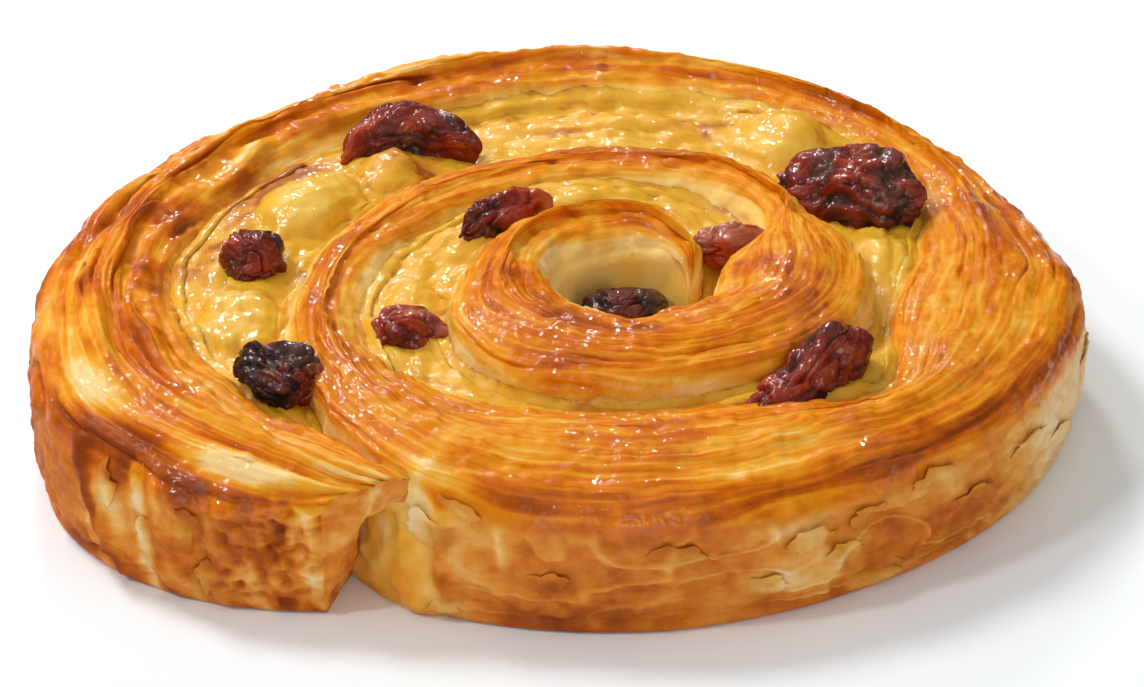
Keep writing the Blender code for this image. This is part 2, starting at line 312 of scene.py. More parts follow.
def arc_length(angle):
    """How far along the strip each winding angle lies, in millimetres."""
    fine = np.arange(-20, 1000, 1.0)
    radius = np.maximum(outer_radius(fine), 8.0)
    length = np.cumsum(np.radians(1.0) * radius)
    return np.interp(angle, fine, length)


def mesh_object(name, points, faces, attributes=()):
    """Smooth-shaded object from arrays. Faces are arrays with a row of corners for each face. Attributes are
    (name, values), with one row of one or three numbers for each point."""
    mesh = bpy.data.meshes.new(name)
    points = np.ascontiguousarray(points.reshape(-1, 3), np.float32)
    mesh.vertices.add(len(points))
    mesh.vertices.foreach_set("co", points.ravel())
    corners = np.concatenate([np.full(len(part), part.shape[1]) for part in faces])
    loops = np.concatenate([part.ravel() for part in faces])
    mesh.loops.add(len(loops))
    mesh.loops.foreach_set("vertex_index", np.ascontiguousarray(loops, np.int32))
    mesh.polygons.add(len(corners))
    starts = np.concatenate([[0], np.cumsum(corners)[:-1]])
    mesh.polygons.foreach_set("loop_start", np.ascontiguousarray(starts, np.int32))
    mesh.polygons.foreach_set("use_smooth", np.full(len(corners), True))
    for key, values in attributes:
        values = np.asarray(values, np.float32).reshape(len(points), -1)
        vector = values.shape[1] == 3
        layer = mesh.attributes.new(key, "FLOAT_VECTOR" if vector else "FLOAT", "POINT")
        layer.data.foreach_set("vector" if vector else "value", values.ravel())
    mesh.update(calc_edges=True)
    mesh.validate()
    obj = bpy.data.objects.new(name, mesh)
    bpy.context.scene.collection.objects.link(obj)
    return obj


def grid_faces(rows, columns, wrap):
    """Four-cornered faces of a grid of points; wrap joins the last column to the first."""
    row, column = np.meshgrid(np.arange(rows - 1), np.arange(columns if wrap else columns - 1), indexing="ij")
    after = (column + 1) % columns
    quads = stack(row * columns + column, row * columns + after, (row + 1) * columns + after, (row + 1) * columns + column)
    return quads.reshape(-1, 4)


def normals_of(grid, wrap):
    """Unit normals of a grid of points, pointing out of the body."""
    along = np.gradient(grid, axis=0)
    if wrap:
        across = (np.roll(grid, -1, axis=1) - np.roll(grid, 1, axis=1)) / 2
    else:
        across = np.gradient(grid, axis=1)
    normal = np.cross(along, across)
    return normal / np.maximum(np.linalg.norm(normal, axis=-1, keepdims=True), 1e-12)


# Dough

DOUGH_STEP = 0.38
DOUGH_PIECES = (
    ("dough_inner_turn", TIP_ANGLE, 430.0),
    ("dough_middle_turn", 430.0, 640.0),
    ("dough_right_turn", 640.0, 800.0),
    ("dough_left_turn", 800.0, TAIL_ANGLE),
)
END_RINGS = 16
LAYERS = 15

# Points in the ring round the strip: half of the underside, outer base, wall and edge, top, inner edge, wall and
# base, and the other half of the underside.
RING = (6, 7, 52, 26, 92, 18, 13, 4, 6)

# How much rounder the baked edges are, and how far the middle of the strip stands up
SOFTER = 1.08
SHOULDER = 2.8
DOME = 1.1

# Where the tail's inner wall meets the turn inside it and the seam is pressed shut: winding angles.
SHUT_FROM = 573.0
SHUT_TO = 584.0
SHUT_ROUNDING = 0.35
SHUT_OVERLAP = 0.1

# Browner (+) and paler (-) places: winding angle, place across the strip (0 outside, 1 inside), half length
# in millimetres, half width as a share of the strip, amount. Paler rows at 602, 215 and 208 are painted highlights.
TONES = (
    (901, 0.35, 5.0, 0.09, 0.45),
    (893, 0.20, 9.0, 0.06, 0.20),
    (912, 0.55, 9.0, 0.06, 0.22),
    (888, 0.40, 9.0, 0.06, 0.22),
    (875, 0.50, 9.0, 0.05, 0.12),
    (868, 0.82, 3.5, 0.09, 0.50),
    (884, 0.78, 3.5, 0.08, 0.35),
    (854, 0.62, 10.0, 0.04, 0.10),
    (828, 0.52, 14.0, 0.05, 0.15),
    (803, 0.60, 13.0, 0.05, 0.30),
    (782, 0.50, 9.0, 0.07, 0.28),
    (764, 0.30, 12.0, 0.08, 0.16),
    (745, 0.45, 14.0, 0.06, 0.16),
    (686, 0.12, 8.0, 0.05, 0.24),
    (674, 0.22, 6.0, 0.04, 0.22),
    (642, 0.12, 16.0, 0.04, 0.16),
    (655, 0.72, 10.0, 0.06, 0.16),
    (540, 0.30, 14.0, 0.08, 0.14),
    (495, 0.35, 16.0, 0.10, 0.14),
    (450, 0.25, 16.0, 0.12, 0.14),
    (238, 0.18, 12.0, 0.07, 0.14),
    (927, 0.10, 6.0, 0.08, 0.34),
    (939, 0.06, 3.0, 0.07, 0.34),
    (920, 0.26, 5.0, 0.10, -0.62),
    (941, 0.24, 4.2, 0.13, -0.70),
    (949, 0.55, 4.0, 0.10, -0.25),
    # painted highlight on the wall at the notch corner
    (602, 0.06, 4.0, 0.10, -0.36),
    (529, 0.88, 9.0, 0.14, -0.38),
    (555, 0.70, 8.0, 0.12, -0.22),
    (432, 0.90, 8.0, 0.14, -0.30),
    (692, 0.40, 10.0, 0.09, -0.04),
    (820, 0.22, 24.0, 0.18, -0.34),
    (852, 0.14, 12.0, 0.10, -0.22),
    (858, 0.30, 8.0, 0.06, -0.18),
    (905, 0.12, 6.0, 0.05, -0.25),
    (912, 0.62, 8.0, 0.14, 0.26),
    (866, 0.70, 12.0, 0.12, -0.22),
    (655, 0.40, 10.0, 0.14, -0.10),
    (682, 0.30, 11.0, 0.20, 0.14),
    (838, 0.30, 34.0, 0.22, -0.15),
    (931, 0.22, 4.5, 0.10, 0.40),
    (200, 0.35, 8.0, 0.20, 0.14),
    (458, 0.40, 14.0, 0.20, 0.12),
    # painted highlight on the outer shoulder of the first turn
    (215, 0.10, 9.0, 0.10, -0.30),
    (30, 0.20, 5.0, 0.20, -0.20),
    (896, 0.30, 4.0, 0.04, -0.30),
    (170, 0.70, 5.0, 0.20, -0.20),
    # painted highlight on the outer shoulder of the first turn
    (208, 0.25, 7.0, 0.12, -0.12),
    (200, 1.00, 70.0, 0.10, -0.55),
    (872, 0.96, 12.0, 0.09, 0.30),
    (900, 0.97, 10.0, 0.07, 0.12),
)

# Folds down the torn side near the tail: winding angle at the crest, at the base, rise, half width in degrees,
# how much browner.
FOLDS = (
    (925.0, 931.5, 1.0, 1.3, 0.42),
    (932.5, 934.0, -0.7, 1.1, -0.30),
    (938.0, 936.5, 0.9, 1.5, 0.16),
    (940.5, 939.0, -0.8, 0.8, -0.10),
    (943.5, 941.5, 0.8, 1.2, 0.10),
)
FLAP_ANGLE = 603.6
FLAP_WIDTH = 1.2
FLAP_RISE = 1.0
CRUMB_FROM = 940.0
CRUMB_TO = 943.5
CRUMB_CELL = (1.7, 1.7, 2.2)
CRUMB_DEPTH = 0.95


def shut(angle):
    """How far the seam is pressed shut, from 0 to 1, by its winding angle."""
    return smoothstep(SHUT_FROM, SHUT_TO, angle)


def shut_reach(angle):
    """How far each side of the pressed seam moves to close it."""
    return shut(angle) * (eased(SEAM, angle, 2) / 2 + SHUT_OVERLAP)


def dough_profile(angle):
    """Closed ring of the strip at each angle, finely divided: radius, height, place across (0 at the outer
    wall, 1 at the inner), and the part of the ring (0 underneath, 1 outer wall, 2 top, 3 inner wall)."""
    angle = angle[:, None]
    inner = inner_radius(angle) - shut_reach(angle - TURN)
    outer = outer_radius(angle) + shut_reach(angle) * smoothstep(SEAM[-1][0], SEAM[-1][0] - 8, angle)
    crest = eased(CREST, angle)
    lean = heart_lean(angle)
    round_in, round_out = (SOFTER * rounding for rounding in roundings(angle))
    round_in = round_in + (SHUT_ROUNDING - round_in) * shut(angle - TURN)
    round_out = round_out + (SHUT_ROUNDING - round_out) * shut(angle) * smoothstep(SEAM[-1][0] + 4, SEAM[-1][0] - 8, angle)
    open_seam = smoothstep(TIP_ANGLE + 20, TIP_ANGLE + 60, angle) * smoothstep(560, 520, angle)
    softer = np.minimum(SHOULDER, 0.46 * (outer - inner))
    round_out = np.maximum(round_out, softer * open_seam)
    dome = DOME * (1 - 0.6 * smoothstep(400, 430, angle) * smoothstep(560, 530, angle))
    round_base = np.minimum(ROUND_BASE, round_out)
    pieces = []

    def add(radius, z, part):
        radius, z = np.broadcast_arrays(radius, z)
        pieces.append((radius, z, np.full(radius.shape, float(part))))

    def spread(count):
        return np.linspace(0, 1, count, endpoint=False)[None, :]

    low, high = (inner + outer) / 2, outer - round_base
    add(low + (high - low) * spread(RING[0]), 0 * inner, 0)
    bend = np.pi / 2 * spread(RING[1])
    add(outer - round_base * (1 - np.sin(bend)), round_base * (1 - np.cos(bend)), 1)
    part = spread(RING[2])
    add(outer + 0 * part, round_base + part * (crest - round_out - round_base), 1)
    bend = np.pi / 2 * spread(RING[3])
    add(outer - round_out * (1 - np.cos(bend)), crest - round_out * (1 - np.sin(bend)), 2)
    part = spread(RING[4])
    add((outer - round_out) * (1 - part) + (inner + round_in) * part, crest + dome * 4 * part * (1 - part), 2)
    bend = np.pi / 2 * (1 - spread(RING[5]))
    add(inner + round_in * (1 - np.cos(bend)), crest - round_in * (1 - np.sin(bend)), 2)
    part = 1 - spread(RING[6])
    add(inner + 0 * part, round_base + part * (crest - round_in - round_base), 3)
    bend = np.pi / 2 * (1 - spread(RING[7]))
    add(inner + round_base * (1 - np.sin(bend)), round_base * (1 - np.cos(bend)), 3)
    low, high = inner + round_base, (inner + outer) / 2
    add(low + (high - low) * spread(RING[8]), 0 * inner, 0)

    radius = np.concatenate([p[0] for p in pieces], axis=1)
    z = np.concatenate([p[1] for p in pieces], axis=1)
    part = np.concatenate([p[2] for p in pieces], axis=1)
    across = np.clip((outer - radius) / (outer - inner), 0, 1)
    radius = radius - lean * across * (1 - z / crest)
    return radius, z, across, part


def wall_paths(stations_at, points, angle):
    """Outer and inner wall of the finished strip at each angle: radius and height from the table to mid top.
    The points have a ring for each station, between the rings that close the ends."""
    row = END_RINGS - 1 + np.clip(np.searchsorted(stations_at, angle), 0, len(stations_at) - 1)
    ring = points[row]
    radius, z = np.hypot(ring[..., 0] - AXIS[0], ring[..., 1] - AXIS[1]), ring[..., 2]
    middle = sum(RING[:4]) + RING[4] // 2
    first, last = RING[0], ring.shape[1] - RING[8] - 1
    outer = radius[:, first:middle], np.maximum.accumulate(z[:, first:middle], axis=1)
    inner = radius[:, last:middle:-1], np.maximum.accumulate(z[:, last:middle:-1], axis=1)
    return outer, inner


def closed_ends(grid, start=True, end=True):
    """The grid with rings added that draw each end together towards its middle."""
    shares = np.linspace(0, 1, END_RINGS, endpoint=False)[1:, None, None]
    parts = [grid]
    if start:
        middle = grid[0].mean(axis=0)
        parts.insert(0, (grid[0] + (middle - grid[0]) * shares)[::-1])
    if end:
        middle = grid[-1].mean(axis=0)
        parts.append(grid[-1] + (middle - grid[-1]) * shares)
    return np.concatenate(parts)


def held_ends(values):
    """Values of the rings, repeated for the rings that closed_ends adds."""
    count = END_RINGS - 1
    return np.concatenate([np.repeat(values[:1], count, axis=0), values, np.repeat(values[-1:], count, axis=0)])


def dough_tone(turning, across, along):
    tone = 0.0
    for angle, place, half_length, half_width, amount in TONES:
        distance = (along - arc_length(angle)) / half_length
        tone = tone + amount * np.exp(-(distance**2) - ((across - place) / half_width) ** 2)
    return tone


def build_dough():
    angle = stations(TIP_ANGLE, TAIL_ANGLE, DOUGH_STEP)
    radius, z, across, part = dough_profile(angle)
    ring = radius.shape[1]
    turning = np.repeat(angle[:, None], ring, axis=1)

    middle = (radius.max(axis=1) + radius.min(axis=1))[:, None] / 2
    tip = np.sqrt(np.clip((angle - TIP_ANGLE + 0.3) / 12, 0, 1))[:, None]
    radius = middle + (radius - middle) * tip
    z = z * (0.8 + 0.2 * tip)

    bridge = smoothstep(0.45, 0.95, z / z.max(axis=1)[:, None])
    slant = TAIL_SLANT_BASE + (TAIL_SLANT_TOP - TAIL_SLANT_BASE) * bridge
    turning = turning + slant * across * smoothstep(TAIL_ANGLE - 14, TAIL_ANGLE, turning)

    points = closed_ends(placed(radius, turning, z) / MM)
    along = held_ends(np.repeat(arc_length(angle)[:, None], ring, axis=1))
    across, part, turning = held_ends(across), held_ends(part), held_ends(turning)
    crest = held_ends(np.repeat(eased(CREST, angle)[:, None], ring, axis=1))
    tip = held_ends(np.repeat(tip, ring, axis=1))
    z = points[..., 2]
    normal = normals_of(points, wrap=True)
    end_face = np.zeros(z.shape)
    end_face[1 - END_RINGS :] = 1.0

    height = np.clip(z / crest, 0, 1)
    ragged = 3.0 * noise(stack(z / 2.5, turning / 40, 1.5), 9)
    last_turn = smoothstep(SEAM[-1][0] - 1, SEAM[-1][0] + 5, turning + ragged)
    outside = (across < 0.5) * (part > 0) * (1 - end_face)
    level_side = 0.74 + 0.05 * noise(stack(along / 9.0, 0.5, 3.5), 8)
    on_wall = outside * smoothstep(level_side + 0.06, level_side - 0.06, height)
    on_top = (part > 0) * (part < 3) * (1 - on_wall) * (1 - end_face)
    on_top = on_top * np.where(outside > 0, 1, smoothstep(0.5, 0.8, height))
    crust = on_wall * last_turn
    lip = on_top * last_turn * outside * smoothstep(0.98, 0.90, height)

    # The layers: each has its own height, which changes slowly along the strip.
    drift = 1.3 * noise(stack(along / 22, across * 3.0, 0.0), 3) + 0.5 * noise(stack(along / 8, across * 6.0, 4.0), 4)
    layer = across * LAYERS + drift
    number, f = np.floor(layer), layer - np.floor(layer)
    blend = smoothstep(0.55, 1.0, f)
    level = 0.0
    for share, which in ((1 - blend, number), (blend, number + 1)):
        own = noise(stack(along / 13, which * 7.31, 0.5), 11) + 0.35 * noise(stack(along / 4, which * 3.77, 2.5), 12)
        level = level + share * own
    groove = np.exp(-(((f - 0.78) / 0.13) ** 2))
    open_groove = smoothstep(0.1, 0.8, noise(stack(along / 15, number * 5.13, 8.5), 13))
    relief = 0.60 + 1.1 * last_turn * smoothstep(690, 800, turning)
    page = relief * (0.24 * level - groove * (0.05 + 0.5 * open_groove))
    page = page + 0.05 * noise(stack(along / 9, across * LAYERS * 3.1, 3.0), 14)
    broad = noise(stack(along / 17, across * 6.5 + 0.8 * drift, 6.5), 15)
    left_rim = last_turn * smoothstep(780, 885, turning) * smoothstep(0.98, 0.80, across)
    page = page + 1.05 * left_rim * (np.abs(broad) * 1.8 - 0.4)

    swell = 0.55 * rough(points / 7.0, 2, 21)
    fine = 0.07 * rough(points / 0.9, 2, 22)
    bubbles = 0.24 * smoothstep(0.1, 0.7, noise(points / 1.5, 23)) + 0.18 * rough(points / 2.4, 2, 24)
    lift = on_top * (page + 0.6 * swell - 0.25) + (fine + bubbles) * (on_top + on_wall)

    # The crust outside: blisters, raised plates, and thin ridges that run in waves round the pastry.
    belly = 0.6 * np.sin(np.pi * np.clip((height - 0.05) / 0.85, 0, 1)) - 0.5 * smoothstep(0.3, 0.0, height) - 0.8
    blister = 0.45 * rough(points / np.array([6.0, 6.0, 4.0]), 3, 31)
    wander = rough(points / np.array([12.0, 12.0, 5.5]), 2, 32)
    wave = z / 2.1 + 1.3 * noise(stack(along / 8.0, z / 6.0, 7.7), 81)
    thin_ridge = np.clip(1 - 5.0 * np.abs(noise(stack(along / 9.0, wave, 2.2), 82)), 0, 1)
    plate = smoothstep(0.02, 0.16, noise(stack(along / 6.0 + 0.3 * wave, z / 3.4, 1.1), 84))
    flaky = 0.25 + 0.75 * smoothstep(-0.2, 0.3, noise(points / 14.0, 33))
    smooth_side = smoothstep(900, 912, turning) * smoothstep(929, 924, turning)
    flaky = flaky * (1 - 0.85 * smooth_side) * (1 - 0.6 * smoothstep(926, 932, turning))
    lumpy = (1 - crust) * smoothstep(0.80, 0.60, height) * (part > 0) * 0.9 * rough(points / 4.0, 3, 38)
    heart = (across > 0.5) * smoothstep(TURN + 30, TURN, turning) * (part > 1)
    lumpy = lumpy + 0.5 * heart * rough(points / np.array([2.6, 2.6, 3.6]), 3, 39)
    scaly = flaky * (0.45 * thin_ridge + 0.45 * plate) + 0.34 * rough(points / 1.5, 3, 83)
    lift = lift + lumpy + crust * (belly + blister * (1 - 0.6 * smooth_side) + scaly)

    # The flap where the wall comes out from under the tail
    flap_at = FLAP_ANGLE + 1.2 * (1 - height) + 0.5 * noise(stack(z / 3.0, 0.4, 2.2), 34)
    flap = outside * np.exp(-(((turning - flap_at) / FLAP_WIDTH) ** 2)) * smoothstep(0.0, 0.25, height)
    flap = flap * smoothstep(0.95, 0.8, height)
    lift = lift + FLAP_RISE * flap

    # The torn side near the tail: folds from the crest to the base, and then an open crumb.
    torn_side = crust + on_top * smoothstep(0.16, 0.02, across) * last_turn
    fold_tone = 0.0
    for top_angle, base_angle, rise, width, amount in FOLDS:
        line = base_angle + (top_angle - base_angle) * height + 0.8 * noise(stack(z / 3.0, 0.3, rise), 35)
        near_line = torn_side * np.exp(-(((turning - line) / width) ** 2))
        lift = lift + rise * near_line
        fold_tone = fold_tone + amount * near_line
    strand_at = stack((turning - 4.0 * (1 - height)) * 0.9, z / 7.0, 0.5)
    strands = torn_side * smoothstep(926, 929, turning) * (1 - np.abs(noise(strand_at, 36)) * 2.4)
    lift = lift + 0.26 * strands * smoothstep(0.0, 0.3, height)
    fold_tone = fold_tone + 0.30 * torn_side * smoothstep(926, 929, turning) * noise(strand_at * 0.8, 37) - 0.12 * strands
    torn = np.clip(smoothstep(CRUMB_FROM, CRUMB_TO, turning) * torn_side * smoothstep(1.0, 0.8, height) + end_face, 0, 1)
    torn = torn * smoothstep(TIP_ANGLE + 100, TIP_ANGLE + 200, turning)
    near = cells(points / np.array(CRUMB_CELL) + 0.55 * stack(*(noise(points / 1.7, 46 + k) for k in range(3))), 41)[0]
    small = cells(points / (0.5 * np.array(CRUMB_CELL)), 44)[0]
    pit = np.maximum(smoothstep(0.52, 0.20, near), 0.45 * smoothstep(0.48, 0.18, small))
    pit = pit * (1 - 0.55 * end_face)
    crumb = -CRUMB_DEPTH * pit + 0.7 * rough(points / 1.8, 3, 43) - 0.1 + 0.9 * end_face * rough(points / 3.2, 2, 45)
    calm = (1 - 0.2 * end_face) * smoothstep(-0.5, 3.5, z) * (1 - 0.4 * smoothstep(948, 951, turning))
    lift = lift * (1 - 0.5 * torn) + torn * crumb * calm

    underneath = smoothstep(0.0, 1.2, z)
    points = points + normal * (lift * underneath * tip)[..., None]
    base = np.clip(0.35 * rough(points / 5.0, 3, 61) + 0.1, 0, 1)
    points[..., 2] = np.where(underneath > 0, np.maximum(points[..., 2], 0.0), base)

    inside = 1 - np.clip(last_turn * (on_wall + on_top * (across < 0.5)) + end_face, 0, 1)
    wide = smoothstep(2.0, 6.0, np.where(across > 0.5, eased(SEAM, turning - TURN, 2), eased(SEAM, turning, 2)))
    smear = 0.5 * noise(points / 4.0, 71)
    first_turn = (across < 0.5) * smoothstep(70, 110, turning) * smoothstep(350, 320, turning)
    deeper = 1.6 * first_turn
    soaked = inside * smoothstep(0.5 + deeper, 3.0 - 1.2 * wide + 1.6 * deeper, crest - z + smear) * smoothstep(0.0, 2.0, z)
    recess = (across < 0.5) * smoothstep(578, 586, turning) * smoothstep(607, 601, turning + ragged)
    recess = recess * smoothstep(0.92, 0.82, height) * (1 - end_face)
    browned_side = smoothstep(846, 858, turning) * smoothstep(930, 912, turning)
    soaked = soaked * (1 - 0.75 * browned_side)
    soaked = soaked * (1 - 0.75 * recess)
    bake = 0.48 + dough_tone(turning, across, along) * (1 - 0.6 * crust) + fold_tone
    # Browner where the layers stand higher. Paler in the shallow closed grooves. Browner in the deep open grooves,
    # which is painted shade.
    bake = bake + on_top * (0.16 * level - 0.16 * groove * (1 - open_groove) + 0.28 * groove * open_groove)
    mottled = rough(points / np.array([2.6, 2.6, 1.4]), 3, 85)
    bake = bake + crust * (0.10 - flaky * (0.30 * thin_ridge + 0.12 * plate) + 0.18 * wander + 0.20 * mottled)
    # The crust on the far right is painted paler: painted light on the side turned away from the key lamp.
    far_right_painted_light = smoothstep(684, 706, turning) * smoothstep(765, 740, turning)
    bake = bake + crust * (0.06 * smoothstep(0.35, 0.05, height) - 0.45 * far_right_painted_light + 0.10 * smooth_side)
    bake = bake + 0.17 * lip - 0.30 * smoothstep(0.2, 3.0, crest - z) * inside * on_top
    # In the torn crumb the sunken pits are painted browner: painted shade in its holes.
    bake = bake + torn * (0.20 * pit + 0.02 + 0.34 * rough(points / 2.2, 3, 86))
    bake = bake + heart * (0.10 + 0.30 * rough(points / 3.5, 2, 87)) + 0.08 * first_turn
    # The recess wall is paler. Part of this is pale dough that the tail covered; part is painted light that grows
    # deeper into the notch. The paleness fades at the foot.
    deep = smoothstep(600, 592, turning)
    bake = bake - recess * (0.02 + 0.30 * deep - 0.20 * smoothstep(0.25, 0.0, height) + 0.30 * rough(points / 3.0, 2, 72))
    # The flap is browner. Just before it, a paler streak high on the wall is a painted highlight.
    bake = bake + 0.22 * flap - 0.16 * outside * np.exp(-(((turning - 600.6) / 1.0) ** 2)) * smoothstep(0.45, 0.7, height)
    red = smoothstep(0.05, 0.6, noise(points / np.array([7.0, 7.0, 9.0]), 73)) * smoothstep(780, 840, turning)
    red = red * (0.45 + 0.55 * smoothstep(862, 885, turning))
    bake = bake + on_top * 0.22 * red * smoothstep(0.98, 0.86, across) * smoothstep(940, 925, turning)
    # On the left rim the raised ridges are painted paler and the valleys browner: painted highlight and painted shade
    # following the relief.
    bake = bake - 0.22 * left_rim * on_top * (np.abs(broad) - 0.25)

    pieces = []
    for name, start, end in DOUGH_PIECES:
        first = 0 if start == TIP_ANGLE else int(np.searchsorted(angle, start)) + END_RINGS - 1
        last = len(points) if end == TAIL_ANGLE else int(np.searchsorted(angle, end)) + END_RINGS
        rows = slice(first, last)
        grid = points[rows].reshape(-1, 3)
        count = last - first
        faces = [grid_faces(count, ring, wrap=True)[:, ::-1]]
        column = np.arange(ring)
        after = (column + 1) % ring
        if start == TIP_ANGLE:
            grid = np.concatenate([grid, points[first].mean(axis=0)[None]])
            faces.append(stack(len(grid) - 1, column, after))
        if end == TAIL_ANGLE:
            grid = np.concatenate([grid, points[last - 1].mean(axis=0)[None]])
            faces.append(stack(len(grid) - 1, (count - 1) * ring + after, (count - 1) * ring + column))
        attributes = []
        extra = len(grid) - count * ring
        for key, values in (
            ("strip", stack(along, layer, z)),
            ("top", on_top),
            ("crust", np.maximum(crust, end_face)),
            ("bake", bake),
            ("soaked", soaked),
        ):
            flat = values[rows].reshape(count * ring, -1)
            flat = np.concatenate([flat, np.repeat(flat[-1:], extra, axis=0)])
            attributes.append((key, flat))
        pieces.append(mesh_object(name, grid * MM, faces, attributes))
    return pieces, angle, points, bake


# Loose flakes that curl off the crust: winding angle, height on the wall (or place across the top, as a share
# below 1), half length, half height, how far the free edge lifts, the way it is free (degrees from along the
# strip towards the crest).
FLAKES = (
    (604.0, 2.2, 1.6, 1.3, 0.9, -90),
    (602.5, 10.5, 2.6, 2.0, 1.0, 150),
    (606.0, 13.2, 2.2, 1.2, 0.6, 60),
    (618.0, 6.5, 2.4, 1.3, 0.5, 40),
    (636.0, 9.0, 2.8, 1.2, 0.5, 80),
    (648.0, 4.5, 2.6, 1.4, 0.7, 20),
    (655.0, 8.5, 2.6, 1.8, 1.0, 110),
    (660.0, 6.0, 2.4, 1.6, 1.1, 60),
    (664.5, 9.5, 2.2, 1.2, 0.8, 130),
    (668.0, 2.5, 2.4, 1.2, 0.8, -60),
    (676.0, 10.5, 3.0, 1.0, 0.7, 90),
    (684.0, 6.5, 2.6, 1.4, 0.8, 70),
    (696.0, 8.5, 2.8, 1.2, 0.8, 100),
    (706.0, 5.0, 2.4, 1.4, 0.7, 40),
    (722.0, 7.5, 2.4, 1.4, 0.8, 90),
    (746.0, 6.0, 3.0, 1.6, 0.8, 60),
    (772.0, 9.0, 2.8, 1.5, 0.8, 120),
    (806.0, 5.0, 3.0, 1.6, 0.7, 60),
    (838.0, 8.0, 2.8, 1.6, 0.8, 100),
    (872.0, 6.0, 2.6, 1.4, 0.7, 70),
    (929.5, 12.0, 1.4, 2.6, 0.6, 0),
    (934.5, 6.0, 1.2, 3.0, 0.7, 180),
    (938.0, 9.0, 1.2, 2.6, 0.6, 0),
    (941.0, 4.0, 1.6, 2.2, 0.8, 200),
)
FLAKE_RINGS = 12
FLAKE_SIDES = 26
FLAKE_THICK = 0.16
FLAKE_PALER = 0.10


def ring_column(points, row, place):
    """Column of a ring at a height on the outer wall, or at a share across the top."""
    if place < 1:
        return sum(RING[:4]) + place * RING[4]
    first = RING[0]
    wall = np.maximum.accumulate(points[row, first : sum(RING[:3]), 2])
    return first + np.interp(place, wall, np.arange(len(wall)))


def surface_at(points, row, column):
    """Points of the grid between its rows and columns."""
    low_row, low_column = np.floor(row).astype(int), np.floor(column).astype(int)
    f, g = (row - low_row)[..., None], (column - low_column)[..., None]
    near = points[low_row, low_column] * (1 - g) + points[low_row, low_column + 1] * g
    far = points[low_row + 1, low_column] * (1 - g) + points[low_row + 1, low_column + 1] * g
    return near * (1 - f) + far * f


def build_flakes(dough_angle, points, bake):
    """Thin ragged sheets that lie on the crust and lift along one edge."""
    normal = normals_of(points, wrap=True)
    share, turn = np.meshgrid(
        np.linspace(0.04, 1, FLAKE_RINGS), np.linspace(0, 2 * np.pi, FLAKE_SIDES, endpoint=False), indexing="ij"
    )
    around = np.arange(FLAKE_SIDES)
    after = (around + 1) % FLAKE_SIDES
    last = (2 * FLAKE_RINGS - 1) * FLAKE_SIDES
    all_points, all_quads, all_fans, all_tones, count = [], [], [], [], 0
    for seed, (angle, place, half_length, half_height, lift, free) in enumerate(FLAKES):
        row = END_RINGS - 1 + int(np.searchsorted(dough_angle, angle))
        column = ring_column(points, row, place)
        edge = 1 + 0.75 * rough(stack(np.cos(turn) * 2.2, np.sin(turn) * 2.2, seed + 0.5), 4, 101 + seed)
        right, up = share * edge * np.cos(turn) * half_length, share * edge * np.sin(turn) * half_height
        ring = np.concatenate([[0], np.cumsum(np.linalg.norm(np.diff(points[row], axis=0), axis=1))])
        middle = np.interp(column, np.arange(len(ring)), ring)
        rows = np.clip(row + right / DOUGH_STEP, END_RINGS, len(points) - END_RINGS - 2)
        columns = np.interp(middle + (up if place >= 1 else -up), ring, np.arange(len(ring)))
        columns = np.minimum(columns, len(ring) - 1.01)
        base = surface_at(points, rows, columns)
        out = normal[row, int(column)]
        way = (right * math.cos(math.radians(free)) / half_length) + (up * math.sin(math.radians(free)) / half_height)
        raised = 0.55 * lift * smoothstep(-0.5, 1.2, way) - 0.35 * smoothstep(0.2, -1.0, way)
        raised = raised + 0.15 * rough(base / 0.9, 2, 131 + seed)
        over = base + out * (raised + FLAKE_THICK)[..., None]
        under = base + out * (raised * np.ones(share.shape))[..., None]
        middles = over[0].mean(axis=0)[None], under[0].mean(axis=0)[None]
        sheet = np.concatenate([over.reshape(-1, 3), under[::-1].reshape(-1, 3), *middles])
        quads = grid_faces(2 * FLAKE_RINGS, FLAKE_SIDES, wrap=True)
        fans = np.concatenate([stack(len(sheet) - 2, after, around), stack(len(sheet) - 1, last + around, last + after)])
        if np.linalg.det(np.stack([over[-1, 0] - over[0, 0], over[-1, FLAKE_SIDES // 4] - over[0, 0], out])) > 0:
            quads, fans = quads[:, ::-1], fans[:, ::-1]
        all_points.append(sheet)
        all_quads.append(quads + count)
        all_fans.append(fans + count)
        count += len(sheet)
        tone = surface_at(bake[..., None], rows, columns)[..., 0] - FLAKE_PALER + 0.10 * share
        all_tones.append(np.concatenate([tone.ravel(), tone[::-1].ravel(), np.full(2, tone[0].mean())]))
    sheet = np.concatenate(all_points)
    tones = np.concatenate(all_tones)
    plain = np.zeros(len(sheet))
    attributes = (
        ("strip", stack(sheet[:, 0] + sheet[:, 1], sheet[:, 2], sheet[:, 0])),
        ("top", plain),
        ("crust", plain + 1),
        ("bake", tones),
        ("soaked", plain),
    )
    faces = [np.concatenate(all_quads), np.concatenate(all_fans)]
    return mesh_object("dough_flakes", sheet * MM, faces, attributes)


# Custard

# Pillows of custard that rise between the turns: winding angle, radius, half length, half width, rise.
CUSTARD_LOBES = (
    (511, 38.6, 7.8, 4.1, 2.6),
    (547, 39.8, 5.6, 4.0, 1.6),
    (494, 37.0, 4.2, 3.8, 1.7),
    (463, 35.4, 8.0, 2.8, 1.4),
    (444, 34.4, 6.0, 3.0, 1.5),
    (427, 41.5, 6.0, 5.2, 1.4),
    (452, 43.0, 9.0, 3.0, 0.8),
    (382, 28.3, 5.4, 3.6, 1.3),
    (188, 22.0, 4.0, 3.4, 0.9),
    (218, 23.6, 4.0, 3.0, 0.9),
    (96, 18.4, 8.0, 3.0, 1.0),
    (62, 16.4, 5.0, 4.0, 0.9),
)

